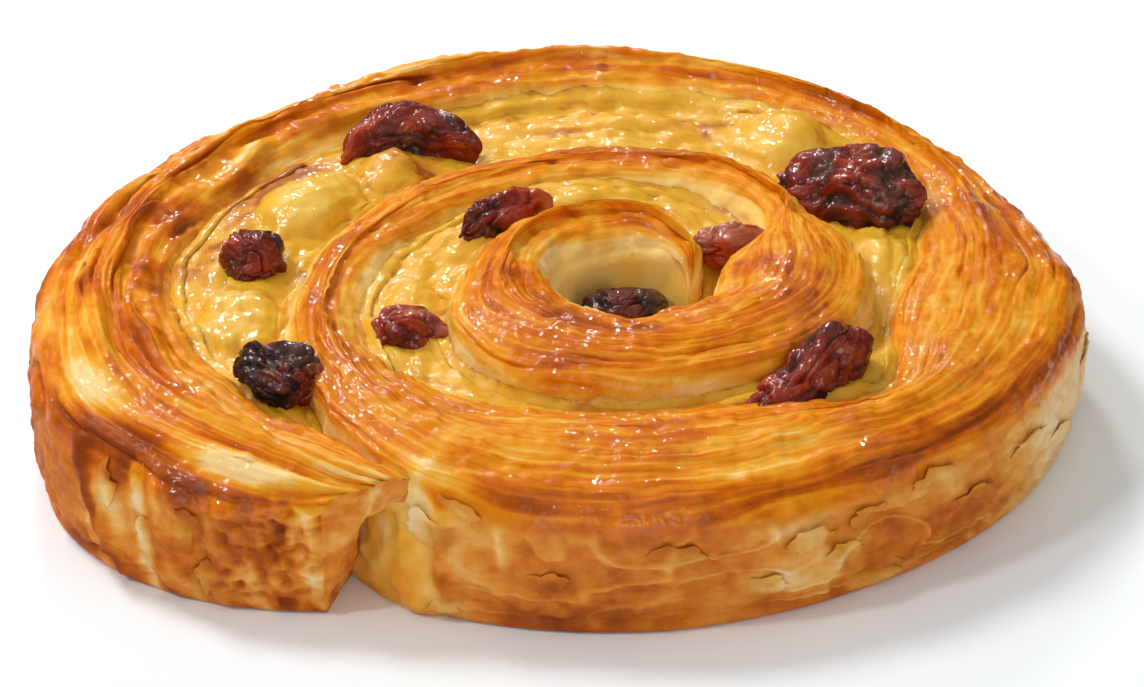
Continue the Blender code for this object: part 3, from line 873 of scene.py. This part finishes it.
# How far the custard climbs the wall of the turn outside it and of the turn inside it: winding angle, distance.
CLIMB_OUTSIDE = (
    (20, 0.5),
    (60, 1.6),
    (200, 1.2),
    (330, 0.8),
    (400, 1.4),
    (430, 2.6),
    (465, 3.0),
    (482, 1.2),
    (550, 1.0),
    (570, 0.8),
    (580, 0.3),
)
CLIMB_INSIDE = (
    (20, 0.3),
    (60, 1.0),
    (180, 1.2),
    (230, 1.8),
    (300, 1.4),
    (360, 1.0),
    (450, 0.6),
    (540, 0.8),
    (580, 0.3),
)
FILM_FOOT = 0.7
SLOPE_SPAN = 11
CUSTARD_REACH = 0.7
COLLAR_RISE = 0.9
COLLAR_WIDTH = 2.0
SLOPE_RISE = 0.7

# Browner (+) and paler (-) places on it: winding angle, radius, half length, half width, amount.
CUSTARD_BROWNED = (
    (491, 37.4, 4.6, 3.6, 0.62),
    (511, 38.4, 7.5, 3.8, -0.12),
    (503, 44.5, 5.0, 2.5, 0.35),
    (440, 43.5, 14.0, 3.0, 0.25),
    (446, 35.6, 17.0, 3.0, -0.20),
    (382, 28.6, 5.0, 4.0, -0.10),
    (60, 15.5, 6.0, 4.0, 0.20),
    (270, 22.4, 10.0, 3.0, 0.10),
)


def beside_wall(path, side, level, distance, offset):
    """Points along a wall's profile: distance up it from the level, and offset from it towards the seam."""
    rows = []
    for radius, z, start, up, out in zip(*path, level, distance, offset):
        length = np.concatenate([[0], np.cumsum(np.hypot(np.diff(radius), np.diff(z)) + 1e-6)])
        at = np.interp(start, z, length) + up
        level_out = np.ones(SLOPE_SPAN) / SLOPE_SPAN
        slope_radius = np.convolve(np.gradient(radius, length), level_out, mode="same")
        slope_z = np.convolve(np.gradient(z, length), level_out, mode="same")
        steep = np.maximum(np.hypot(slope_radius, slope_z), 1e-6)
        across, rise = np.interp(at, length, slope_z / steep), np.interp(at, length, -slope_radius / steep)
        rows.append((np.interp(at, length, radius) + side * out * across, np.interp(at, length, z) + side * out * rise))
    return np.array([row[0] for row in rows]), np.array([row[1] for row in rows])


def custard_collars(points):
    """Rise of the custard where it climbs the fruit: 1 under each one, fading out round it."""
    rise = 0.0
    for name, angle, radius, height, size, turn, lean, bend, hump in RAISINS:
        middle = placed(np.array(float(radius)), float(angle), 0.0) / MM
        direction = math.radians(angle + 90 + turn)
        x, y = points[..., 0] - middle[0], points[..., 1] - middle[1]
        along = x * math.cos(direction) + y * math.sin(direction)
        aside = y * math.cos(direction) - x * math.sin(direction) - bend / 2
        round_it = np.hypot(along / (size[0] / 2), aside / (size[1] / 2))
        gap = np.maximum(round_it - 1, 0) * size[1] / 2
        rise = np.maximum(rise, np.exp(-((gap / COLLAR_WIDTH) ** 2)))
    return rise


def build_custard(dough_angle, dough_points):
    """The layer between the turns. It climbs both walls as a film and reaches into the dough beside it."""
    side, film, top = 14, 9, 44
    angle = np.append(CUSTARD_HEART_ANGLES, stations(CUSTARD_START, CUSTARD_END, 0.55))
    level = eased(CUSTARD_LEVEL, angle)
    before = angle < CUSTARD_START
    outer_path = wall_paths(dough_angle, dough_points, angle)[0]
    inner_path = wall_paths(dough_angle, dough_points, angle + TURN)[1]
    straight = np.linspace(0, 20, outer_path[0].shape[1])
    outer_path = np.where(before[:, None], 2.8, outer_path[0]), np.where(before[:, None], straight, outer_path[1])

    bottom = -(level - CUSTARD_BASE)
    edges = []
    width = beside_wall(inner_path, -1, level, np.zeros((len(angle), 1)), np.zeros((len(angle), 1)))[0]
    width = (width - beside_wall(outer_path, 1, level, np.zeros((len(angle), 1)), np.zeros((len(angle), 1)))[0])[:, 0]
    for path, direction, climbs, seed in ((inner_path, -1, CLIMB_OUTSIDE, 91), (outer_path, 1, CLIMB_INSIDE, 92)):
        wobble = 1 + 0.6 * rough(stack(arc_length(angle) / 6.0, 0.5, seed), 2, seed)
        climb = np.maximum(eased(climbs, angle) * wobble, 0.05) * ~before
        thick = np.minimum(FILM_FOOT, 0.3 * width)
        climb = np.where(before, 0.0, climb)
        buried = bottom[:, None] + (climb - bottom)[:, None] * np.linspace(0, 1, side)[None, :]
        share = np.linspace(1, 0, film)[None, :]
        open_side = thick[:, None] * (1 - share) ** 2.5 + 0.10 * (1 - share) - 0.42 * share**2
        inside = beside_wall(path, direction, level, buried, np.full(buried.shape, -CUSTARD_REACH))
        outside = beside_wall(path, direction, level, climb[:, None] * share, open_side)
        edges.append((inside, outside, np.repeat(share, len(angle), axis=0)))
    right, left = edges
    part = np.linspace(0, 1, top + 2)[None, 1:-1]
    from_right, from_left = (edge[1][0][:, -1:] for edge in edges)
    radius = [right[0][0], right[1][0], from_right + (from_left - from_right) * part, left[1][0][:, ::-1], left[0][0][:, ::-1]]
    flat = level[:, None] + 0 * part
    z = [right[0][1], right[1][1], flat, left[1][1][:, ::-1], left[0][1][:, ::-1]]
    spare = np.zeros((len(angle), side))
    open_top = [spare, 1 - right[2], 1 + 0 * flat, 1 - left[2][:, ::-1], spare]
    radius, z, open_top = (np.concatenate(columns, axis=1) for columns in (radius, z, open_top))
    climbing = np.concatenate([spare, right[2], 0 * flat, left[2][:, ::-1], spare], axis=1)
    turning = np.repeat(angle[:, None], radius.shape[1], axis=1)
    z = z + mounds(radius, turning) * open_top**2

    points = placed(radius, turning, z) / MM
    z = z + COLLAR_RISE * custard_collars(points) * open_top
    points = placed(radius, turning, z) / MM
    normal = normals_of(points, wrap=True)
    warp = 1.5 * rough(points / 4.0, 2, 54)
    uneven = 1 + 0.55 * noise(points / 3.4, 51)
    pillow, rim = 0.0, 0.0
    for mid_angle, mid_radius, half_length, half_width, rise in CUSTARD_LOBES:
        along = (np.radians(turning - mid_angle) * mid_radius + warp) / half_length
        distance = (along**2 + ((radius - mid_radius + 0.5 * warp) / half_width) ** 2) * uneven
        pillow = np.maximum(pillow, rise * np.clip(1 - distance**2, 0, 1) ** 0.6)
        rim = np.maximum(rim, smoothstep(0.40, 0.06, np.abs(distance - 1)))
    knobs = np.abs(noise(points / 2.4, 52))
    left_side = smoothstep(475, 490, turning)
    share_across = np.concatenate([spare, 0 * right[2], part + 0 * flat, 0 * left[2] + 1, spare], axis=1)
    clear = smoothstep(0.0, 0.3, share_across) * smoothstep(1.0, 0.7, share_across)
    lump = 0.55 * pillow + 0.2 * left_side * clear
    smoother = 1 - 0.55 * smoothstep(0.2, 0.8, pillow / 2.6)
    lump = lump + smoother * (0.60 * knobs + 0.45 * rough(points / 3.2, 2, 55)) + 0.25 * rough(points / 1.0, 2, 53) - 0.2
    lump = lump * (0.35 + 0.65 * smoothstep(2.0, 7.0, width))[:, None]
    lump = lump * open_top**2 + 0.5 * open_top * climbing * rough(points / 2.4, 2, 56)
    slope = smoothstep(41.4, 43.6, radius + 0.4 * warp) * smoothstep(492, 503, turning) * smoothstep(549, 535, turning)
    slope = slope * open_top
    lump = lump * (1 - 0.5 * slope) + SLOPE_RISE * slope
    points = points + normal * (lump * smoothstep(8, 11, z))[..., None]
    # Painted shade: browner in the creases between the knobs and round the pillows' rims, and paler on the pillows.
    mottle_and_painted_shade = 0.3 + 0.6 * rim + 0.9 * smoothstep(0.1, 0.0, knobs) - 0.30 * pillow
    faces = grid_faces(len(angle), radius.shape[1], wrap=True)[:, ::-1]
    browned = 0.50 * smoothstep(0.25, 0.85, climbing) + 0.25 * climbing * noise(points / 2.5, 57)
    browned = browned + slope * (0.40 + 0.45 * rough(points / 2.6, 2, 58))
    for mid_angle, mid_radius, half_length, half_width, amount in CUSTARD_BROWNED:
        along = np.radians(turning - mid_angle) * mid_radius / half_length
        browned = browned + amount * np.exp(-(along**2) - ((radius - mid_radius) / half_width) ** 2)
    return mesh_object("custard_layer", points * MM, [faces], (("mottle_and_painted_shade", mottle_and_painted_shade), ("browned", browned)))


# The plug of custard low in the open heart: its level, the points round it, and the rings of its underside, side
# and top.
HEART_LEVEL = 9.6
HEART_SIDES = 96
HEART_RINGS = (4, 14, 26)
HEART_OVERLAP = 0.5


def build_heart_custard():
    """The custard that the raisin in the heart sits on."""
    angle = np.linspace(TIP_ANGLE, TIP_ANGLE + TURN, HEART_SIDES, endpoint=False)[None, :]
    under, side, over = HEART_RINGS
    share = np.concatenate([np.linspace(0.1, 0.9, under), np.ones(side), np.linspace(0.98, 0.04, over)])[:, None]
    z = np.concatenate([np.full(under, CUSTARD_BASE), np.linspace(CUSTARD_BASE, HEART_LEVEL, side + 1)[1:], np.full(over, HEART_LEVEL)])
    z = z[:, None] + 0 * angle
    wall = inner_radius(angle) - heart_lean(angle) * (1 - z / eased(CREST, angle))
    radius = share * (wall + HEART_OVERLAP)
    points = placed(radius, angle, z) / MM
    top = np.arange(len(z))[:, None] >= under + side
    points[..., 2] += top * (0.6 * (1 - share**2) + 0.7 * rough(points / 2.6, 3, 59) - 0.4)
    grid = np.concatenate([points.reshape(-1, 3), points[0].mean(axis=0)[None], points[-1].mean(axis=0)[None]])
    column = np.arange(HEART_SIDES)
    after = (column + 1) % HEART_SIDES
    last = (len(z) - 1) * HEART_SIDES
    faces = [grid_faces(len(z), HEART_SIDES, wrap=True)]
    faces.append(stack(len(grid) - 2, after, column))
    faces.append(stack(len(grid) - 1, last + column, last + after))
    # Random mottle of the plug, carried in the attribute that holds the main layer's painted shade.
    mottle_and_painted_shade = rough(grid / 2.4, 2, 60)
    return mesh_object("custard_heart", grid * MM, faces, (("mottle_and_painted_shade", mottle_and_painted_shade), ("browned", 0 * mottle_and_painted_shade)))


# Raisins: name, winding angle along the seam, radius, height of the centre, (length, width, thickness), turn
# from the seam's direction, lean of the long axis, bend towards the heart, hump on top of the far end.
RAISINS = (
    ("raisin_heart", 100, 2.2, 11.8, (8.8, 6.6, 5.6), -10, 0, 0.0, 0.0),
    ("raisin_tip", 36, 13.4, 16.9, (8.6, 5.2, 4.6), -106, 0, 0.4, 0.0),
    ("raisin_upper_left", 134, 19.0, 17.0, (11.0, 5.8, 5.8), -5, -4, 1.0, 0.0),
    ("raisin_left", 203, 23.8, 16.4, (7.4, 5.8, 5.0), -113, 0, 0.4, 0.0),
    ("raisin_lower_right", 316, 25.2, 15.4, (16.0, 5.4, 5.2), -6, -6, 0.6, 2.6),
    ("raisin_large", 402, 32.8, 15.2, (15.8, 10.8, 10.4), 26, 4, 1.2, 0.0),
    ("raisin_arch", 484, 42.6, 15.8, (14.6, 6.0, 7.4), -26, 0, 4.4, 0.0),
    ("raisin_square", 531, 39.4, 16.0, (7.2, 6.4, 7.4), 20, 0, 0.0, 0.0),
    ("raisin_dark", 567, 39.2, 16.2, (8.8, 6.8, 6.4), 40, 0, 0.6, 0.0),
)


def sphere_grid(rows, columns):
    """Unit sphere as points and faces, with one point at each pole."""
    turn = np.linspace(0, 2 * np.pi, columns, endpoint=False)[None, :]
    tilt = np.linspace(0, np.pi, rows + 2)[1:-1][:, None]
    ring = stack(np.cos(tilt) + 0 * turn, np.sin(tilt) * np.cos(turn), np.sin(tilt) * np.sin(turn))
    points = np.concatenate([ring.reshape(-1, 3), [[1, 0, 0], [-1, 0, 0]]])
    quads = grid_faces(rows, columns, wrap=True)
    first = np.concatenate([quads[:, [0, 2, 1]], quads[:, [0, 3, 2]]])
    column = np.arange(columns)
    after = (column + 1) % columns
    start, end = rows * columns, rows * columns + 1
    last = (rows - 1) * columns
    caps = [stack(start, column, after), stack(end, last + after, last + column)]
    return points, np.concatenate([first, *caps])


# How each one looks: colour (0 black, 1 red amber), how much it reddens towards its far end, how deep its
# folds are in millimetres, and how hazy the glaze on it is.
RAISIN_LOOKS = {
    "raisin_heart": (0.26, 0.05, 0.50, 0.10),
    "raisin_tip": (0.66, 0.15, 0.30, 0.35),
    "raisin_upper_left": (0.66, -0.30, 0.34, 0.00),
    "raisin_left": (0.64, 0.05, 0.34, 0.60),
    "raisin_lower_right": (0.54, -0.12, 0.50, 0.02),
    "raisin_large": (0.47, 0.12, 0.60, 0.10),
    "raisin_arch": (0.48, 0.08, 0.50, 0.03),
    "raisin_square": (0.42, 0.05, 0.44, 0.06),
    "raisin_dark": (0.24, 0.26, 0.60, 0.10),
}
FOLD_LENGTH = 4.6
FOLD_SPACING = 1.5
FACETS = 18
FACET_SHARPNESS = 16


def flattened(unit, seed):
    """How far the skin lies from the middle where it has dried into facets, as a share of full."""
    number = np.arange(FACETS)
    rise = 1 - 2 * (number + 0.5) / FACETS
    turn = 2.39996 * number + seed
    level = np.sqrt(1 - rise**2)
    facing = stack(level * np.cos(turn), level * np.sin(turn), rise)
    facing = facing + 0.35 * stack(*(lattice(stack(number, seed, k), 17) for k in range(3)))
    facing = facing / np.linalg.norm(facing, axis=-1, keepdims=True)
    reach = 0.94 + 0.06 * lattice(stack(number, seed, 9), 19)
    nearness = np.clip(unit @ facing.T / reach, 0.05, None)
    return (nearness**FACET_SHARPNESS).sum(axis=-1) ** (-1 / FACET_SHARPNESS)


def build_raisin(name, angle, radius, height, size, turn, lean, bend, hump):
    """Shrivelled fruit: an ellipsoid gathered into folds that run along it."""
    tone, redden, depth, haze = RAISIN_LOOKS[name]
    unit, faces = sphere_grid(92, 92)
    half = np.array(size) / 2
    seed = len(name) * 7 + angle
    body = unit * half * 1.06 * np.minimum(flattened(unit, seed), 1.08)[:, None]
    warp = stack(*(0.9 * noise(body / 2.8 + seed + 5 * k, seed + k) for k in range(3)))
    folded = (body + warp) / np.array([FOLD_LENGTH, FOLD_SPACING, FOLD_SPACING]) + seed
    wide = np.abs(noise(folded, seed + 1))
    narrow = np.abs(noise(folded[:, [1, 0, 2]] * 1.7, seed + 2))
    crease = np.clip(1 - wide / 0.30, 0, 1) ** 1.3
    wrinkle = np.clip(1 - narrow / 0.26, 0, 1) ** 1.3
    dent = np.clip(noise(body / 3.2 + seed, seed + 5) + 0.12, 0, 1)
    fine = rough(body / 0.55, 2, seed + 9)
    inward = depth * (1.35 * crease + 0.75 * wrinkle - 0.55) + 0.8 * dent - 0.07 * fine
    body = body - unit * inward[:, None]
    body[:, 1] += bend * unit[:, 0] ** 2
    body[:, 2] += hump * np.maximum(unit[:, 2], 0) * np.exp(-(((unit[:, 0] - 0.35) / 0.4) ** 2))

    direction, lean = math.radians(angle + 90 + turn), math.radians(lean)
    tilt = np.array([[math.cos(lean), 0, math.sin(lean)], [0, 1, 0], [-math.sin(lean), 0, math.cos(lean)]])
    spin = np.array(
        [
            [math.cos(direction), -math.sin(direction), 0],
            [math.sin(direction), math.cos(direction), 0],
            [0, 0, 1],
        ]
    )
    place = placed(np.array(float(radius)), float(angle), float(height)) / MM
    points = body @ (spin @ tilt).T + place
    # Darker in the deep folds: painted shade in the creases.
    amber = tone + redden * unit[:, 0] + 0.22 * noise(unit * half / 2.6 + seed, seed + 3) - 0.22 * crease
    film = haze * smoothstep(-0.3, 0.5, noise(unit * half / 2.2 + seed, seed + 4)) * smoothstep(-0.2, 0.6, unit[:, 2])
    return mesh_object(name + "_fruit", points * MM, [faces], (("amber", amber), ("film", film)))


# Materials


class Nodes:
    """Short way to write a node material."""

    def __init__(self, name):
        self.material = bpy.data.materials.new(name)
        self.material.use_nodes = True
        self.tree = self.material.node_tree
        self.shader = self.tree.nodes["Principled BSDF"]

    def add(self, kind, inputs=None, **settings):
        node = self.tree.nodes.new(kind)
        for key, value in settings.items():
            setattr(node, key, value)
        for key, value in (inputs or {}).items():
            self.feed(node.inputs[key], value)
        return node

    def feed(self, socket, value):
        if isinstance(value, bpy.types.NodeSocket):
            self.tree.links.new(value, socket)
        elif isinstance(value, bpy.types.Node):
            self.tree.links.new(value.outputs[0], socket)
        else:
            socket.default_value = value

    def attribute(self, name, output="Fac"):
        return self.add("ShaderNodeAttribute", attribute_name=name).outputs[output]

    def math(self, operation, a, b=0.0, clamp=False):
        return self.add("ShaderNodeMath", {0: a, 1: b}, operation=operation, use_clamp=clamp).outputs[0]

    def texture(self, vector, scale, detail=3.0, roughness=0.55, distortion=0.0):
        inputs = {"Vector": vector, "Scale": scale, "Detail": detail, "Roughness": roughness, "Distortion": distortion}
        return self.add("ShaderNodeTexNoise", inputs).outputs["Fac"]

    def stretched(self, vector, factors):
        return self.add("ShaderNodeVectorMath", {0: vector, 1: factors}, operation="MULTIPLY").outputs[0]

    def remap(self, value, low, high, new_low=0.0, new_high=1.0):
        inputs = {"Value": value, "From Min": low, "From Max": high, "To Min": new_low, "To Max": new_high}
        return self.add("ShaderNodeMapRange", inputs).outputs[0]

    def mix(self, factor, a, b):
        node = self.add("ShaderNodeMix", data_type="RGBA")
        self.feed(node.inputs[0], factor)
        self.feed(node.inputs[6], a)
        self.feed(node.inputs[7], b)
        return node.outputs[2]

    def ramp(self, value, stops):
        node = self.add("ShaderNodeValToRGB", {"Fac": value})
        elements = node.color_ramp.elements
        while len(elements) < len(stops):
            elements.new(0.5)
        for element, (place, colour) in zip(elements, stops):
            element.position = place
            element.color = (*colour, 1.0)
        return node.outputs["Color"]

    def bump(self, height, strength, distance):
        inputs = {"Height": height, "Strength": strength, "Distance": distance}
        return self.add("ShaderNodeBump", inputs).outputs[0]


CRUST_COLOURS = (
    (0.00, (0.84, 0.58, 0.24)),
    (0.20, (0.80, 0.40, 0.040)),
    (0.42, (0.74, 0.25, 0.006)),
    (0.60, (0.62, 0.14, 0.002)),
    (0.78, (0.42, 0.082, 0.003)),
    (1.00, (0.25, 0.042, 0.003)),
)
WALL_COLOURS = (
    (0.00, (0.84, 0.60, 0.32)),
    (0.20, (0.80, 0.44, 0.13)),
    (0.42, (0.72, 0.28, 0.042)),
    (0.60, (0.60, 0.17, 0.016)),
    (0.78, (0.42, 0.090, 0.008)),
    (1.00, (0.25, 0.045, 0.006)),
)
SOAKED_COLOURS = ((0.0, (0.92, 0.64, 0.20)), (0.4, (0.86, 0.47, 0.06)), (1.0, (0.60, 0.20, 0.012)))


def dough_material():
    n = Nodes("baked_dough_looks")
    strip = n.attribute("strip", "Vector")
    place = n.add("ShaderNodeTexCoord").outputs["Object"]
    top, crust, bake, soaked = (n.attribute(key) for key in ("top", "crust", "bake", "soaked"))

    streaks = n.texture(n.stretched(strip, (0.09, 0.9, 0.05)), 1.0, 4.0, 0.6)
    threads = n.texture(n.stretched(strip, (0.20, 2.2, 0.1)), 1.0, 3.0, 0.6)
    patches = n.texture(place, 70.0, 4.0, 0.6)
    mottle = n.texture(place, 420.0, 5.0, 0.65)

    lines = n.math("MULTIPLY", n.math("SUBTRACT", streaks, 0.5), 0.75)
    lines = n.math("ADD", lines, n.math("MULTIPLY", n.math("SUBTRACT", threads, 0.5), 0.38))
    tone = n.math("ADD", bake, n.math("MULTIPLY", lines, top))
    tone = n.math("ADD", tone, n.math("MULTIPLY", n.math("SUBTRACT", patches, 0.5), 0.7))
    tone = n.math("ADD", tone, n.math("MULTIPLY", n.math("SUBTRACT", mottle, 0.5), 0.45), clamp=True)
    colour = n.mix(crust, n.ramp(tone, CRUST_COLOURS), n.ramp(tone, WALL_COLOURS))
    colour = n.mix(soaked, colour, n.ramp(tone, SOAKED_COLOURS))

    n.feed(n.shader.inputs["Base Color"], colour)
    n.feed(n.shader.inputs["Roughness"], n.remap(mottle, 0.3, 0.7, 0.42, 0.62))
    n.shader.inputs["Specular IOR Level"].default_value = 0.05
    n.shader.inputs["Subsurface Weight"].default_value = 0.2
    n.shader.inputs["Subsurface Radius"].default_value = (1.0, 0.45, 0.1)
    n.shader.inputs["Subsurface Scale"].default_value = 0.0018
    n.feed(n.shader.inputs["Normal"], n.bump(n.texture(place, 1400.0, 4.0), 0.35, 0.00012))
    glaze = n.math("MULTIPLY", n.remap(patches, 0.45, 0.62, 0.06, 0.9), n.remap(crust, 0.0, 1.0, 1.0, 0.25))
    n.feed(n.shader.inputs["Coat Weight"], glaze)
    n.shader.inputs["Coat Roughness"].default_value = 0.05
    n.shader.inputs["Coat IOR"].default_value = 1.40
    n.feed(n.shader.inputs["Coat Normal"], n.bump(n.texture(place, 460.0, 2.0, 0.6), 1.0, 0.0008))
    return n.material


CUSTARD_COLOURS = (
    (0.00, (0.79, 0.49, 0.060)),
    (0.28, (0.77, 0.41, 0.022)),
    (0.55, (0.74, 0.38, 0.016)),
    (0.80, (0.60, 0.23, 0.010)),
    (1.00, (0.38, 0.10, 0.006)),
)


def custard_material():
    n = Nodes("custard_looks")
    place = n.add("ShaderNodeTexCoord").outputs["Object"]
    broad = n.texture(place, 110.0, 4.0, 0.6)
    fine = n.texture(place, 600.0, 4.0, 0.6)
    tone = n.math("MULTIPLY", n.math("SUBTRACT", broad, 0.26), 1.3)
    # Browner by the painted shade of creases and rims, and by random mottle in the heart.
    tone = n.math("ADD", tone, n.math("MULTIPLY", n.attribute("mottle_and_painted_shade"), 0.30))
    tone = n.math("ADD", tone, n.attribute("browned"))
    tone = n.math("ADD", tone, n.math("MULTIPLY", n.math("SUBTRACT", fine, 0.5), 0.35), clamp=True)
    n.feed(n.shader.inputs["Base Color"], n.ramp(tone, CUSTARD_COLOURS))
    n.feed(n.shader.inputs["Roughness"], n.remap(fine, 0.3, 0.7, 0.35, 0.6))
    n.shader.inputs["Specular IOR Level"].default_value = 0.2
    n.shader.inputs["Subsurface Weight"].default_value = 0.35
    n.shader.inputs["Subsurface Radius"].default_value = (1.0, 0.6, 0.12)
    n.shader.inputs["Subsurface Scale"].default_value = 0.0022
    n.feed(n.shader.inputs["Normal"], n.bump(fine, 0.5, 0.00025))
    n.feed(n.shader.inputs["Coat Weight"], n.remap(broad, 0.35, 0.6, 0.7, 0.2))
    n.shader.inputs["Coat Roughness"].default_value = 0.05
    n.shader.inputs["Coat IOR"].default_value = 1.40
    n.feed(n.shader.inputs["Coat Normal"], n.bump(n.texture(place, 420.0, 2.0, 0.6), 1.0, 0.0007))
    return n.material


RAISIN_COLOURS = (
    (0.00, (0.012, 0.006, 0.006)),
    (0.22, (0.045, 0.010, 0.007)),
    (0.45, (0.18, 0.013, 0.004)),
    (0.70, (0.35, 0.034, 0.005)),
    (1.00, (0.55, 0.15, 0.020)),
)


def raisin_material():
    n = Nodes("raisin_looks")
    place = n.add("ShaderNodeTexCoord").outputs["Object"]
    fine = n.texture(place, 1300.0, 4.0, 0.6)
    mottle = n.texture(place, 500.0, 3.0, 0.6)
    tone = n.math("ADD", n.attribute("amber"), n.math("MULTIPLY", n.math("SUBTRACT", mottle, 0.5), 0.5), clamp=True)
    film = n.attribute("film")
    colour = n.mix(film, n.ramp(tone, RAISIN_COLOURS), (0.50, 0.24, 0.13, 1))
    n.feed(n.shader.inputs["Base Color"], colour)
    n.feed(n.shader.inputs["Roughness"], n.remap(fine, 0.3, 0.7, 0.35, 0.6))
    n.shader.inputs["Specular IOR Level"].default_value = 0.08
    n.shader.inputs["Subsurface Weight"].default_value = 0.25
    n.shader.inputs["Subsurface Radius"].default_value = (1.0, 0.15, 0.05)
    n.shader.inputs["Subsurface Scale"].default_value = 0.0012
    n.feed(n.shader.inputs["Normal"], n.bump(fine, 0.5, 0.00012))
    n.feed(n.shader.inputs["Coat Weight"], n.remap(mottle, 0.38, 0.6, 0.05, 0.9))
    n.shader.inputs["Coat Roughness"].default_value = 0.06
    n.shader.inputs["Coat IOR"].default_value = 1.50
    n.feed(n.shader.inputs["Coat Normal"], n.bump(n.texture(place, 700.0, 2.0, 0.6), 1.0, 0.0004))
    return n.material


def floor_material():
    n = Nodes("pale_floor")
    place = n.add("ShaderNodeTexCoord").outputs["Object"]
    grain = n.texture(place, 40.0, 3.0)
    n.feed(n.shader.inputs["Base Color"], n.ramp(grain, ((0.0, (0.91, 0.95, 0.97)), (1.0, (0.93, 0.97, 0.99)))))
    n.shader.inputs["Roughness"].default_value = 0.9
    n.shader.inputs["Specular IOR Level"].default_value = 0.1
    return n.material


# Stage


def add_camera():
    elevation = math.radians(CAMERA_ELEVATION)
    back = Vector((0, -math.cos(elevation), math.sin(elevation)))
    up = Vector((0, math.sin(elevation), math.cos(elevation)))
    camera = bpy.data.objects.new("camera", bpy.data.cameras.new("camera"))
    camera.data.lens = CAMERA_LENS
    camera.data.clip_start = 0.01
    turn = Matrix((Vector((1, 0, 0)), up, back)).transposed().to_4x4()
    camera.matrix_world = Matrix.Translation(Vector(CAMERA_AIM) * MM + back * CAMERA_DISTANCE * MM) @ turn
    bpy.context.scene.collection.objects.link(camera)
    bpy.context.scene.camera = camera


def add_light(name, place, size, power, colour=(1, 1, 1)):
    light = bpy.data.lights.new(name, "AREA")
    light.shape = "DISK"
    light.size = size
    light.energy = power
    light.color = colour
    obj = bpy.data.objects.new(name, light)
    obj.location = place
    obj.rotation_euler = (Vector((0, 0, 0.01)) - Vector(place)).to_track_quat("-Z", "Y").to_euler()
    bpy.context.scene.collection.objects.link(obj)


def add_floor():
    mesh = bpy.data.meshes.new("floor")
    half = 2.5
    mesh.from_pydata([(-half, -half, 0), (half, -half, 0), (half, half, 0), (-half, half, 0)], [], [(0, 1, 2, 3)])
    floor = bpy.data.objects.new("floor", mesh)
    bpy.context.scene.collection.objects.link(floor)
    floor.data.materials.append(floor_material())


def add_world():
    """Soft light from above, dimmer towards the horizon, so that gloss keeps the colours under it."""
    world = bpy.data.worlds.new("studio")
    world.use_nodes = True
    tree = world.node_tree
    direction = tree.nodes.new("ShaderNodeTexCoord")
    split = tree.nodes.new("ShaderNodeSeparateXYZ")
    rise = tree.nodes.new("ShaderNodeMapRange")
    rise.inputs["From Min"].default_value = 0.45
    rise.inputs["From Max"].default_value = 0.95
    rise.inputs["To Min"].default_value = WORLD_LOW
    rise.inputs["To Max"].default_value = WORLD_HIGH
    tree.links.new(direction.outputs["Generated"], split.inputs[0])
    tree.links.new(split.outputs["Z"], rise.inputs["Value"])
    tree.links.new(rise.outputs[0], tree.nodes["Background"].inputs["Strength"])
    tree.nodes["Background"].inputs["Color"].default_value = (1, 1, 1, 1)
    bpy.context.scene.world = world


def main():
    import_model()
    bpy.context.scene.view_settings.view_transform = "Standard"

    dough_looks, custard_looks, raisin_looks = dough_material(), custard_material(), raisin_material()
    dough_pieces, dough_angle, dough_points, dough_bake = build_dough()
    for piece in dough_pieces:
        piece.data.materials.append(dough_looks)
        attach(piece, "root")
        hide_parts("dough")
    flakes = build_flakes(dough_angle, dough_points, dough_bake)
    flakes.data.materials.append(dough_looks)
    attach(flakes, "root")
    for custard in (build_custard(dough_angle, dough_points), build_heart_custard()):
        custard.data.materials.append(custard_looks)
        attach(custard, "root")
        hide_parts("custard")
    for row in RAISINS:
        fruit = build_raisin(*row)
        fruit.data.materials.append(raisin_looks)
        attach(fruit, "root")
        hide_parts(row[0])

    add_floor()
    add_world()
    add_camera()
    add_light("key", (-0.40, 0.28, 0.60), 0.22, 3.2)
    add_light("fill", (0.12, -0.82, 0.26), 0.60, 2.1)
    add_light("side", (0.80, -0.25, 0.25), 0.50, 0.35)
    add_light("glint_back", (-0.12, 0.66, 0.42), 0.13, 1.9)
    add_light("glint_left", (-0.45, -0.20, 0.50), 0.08, 0.9)


main()
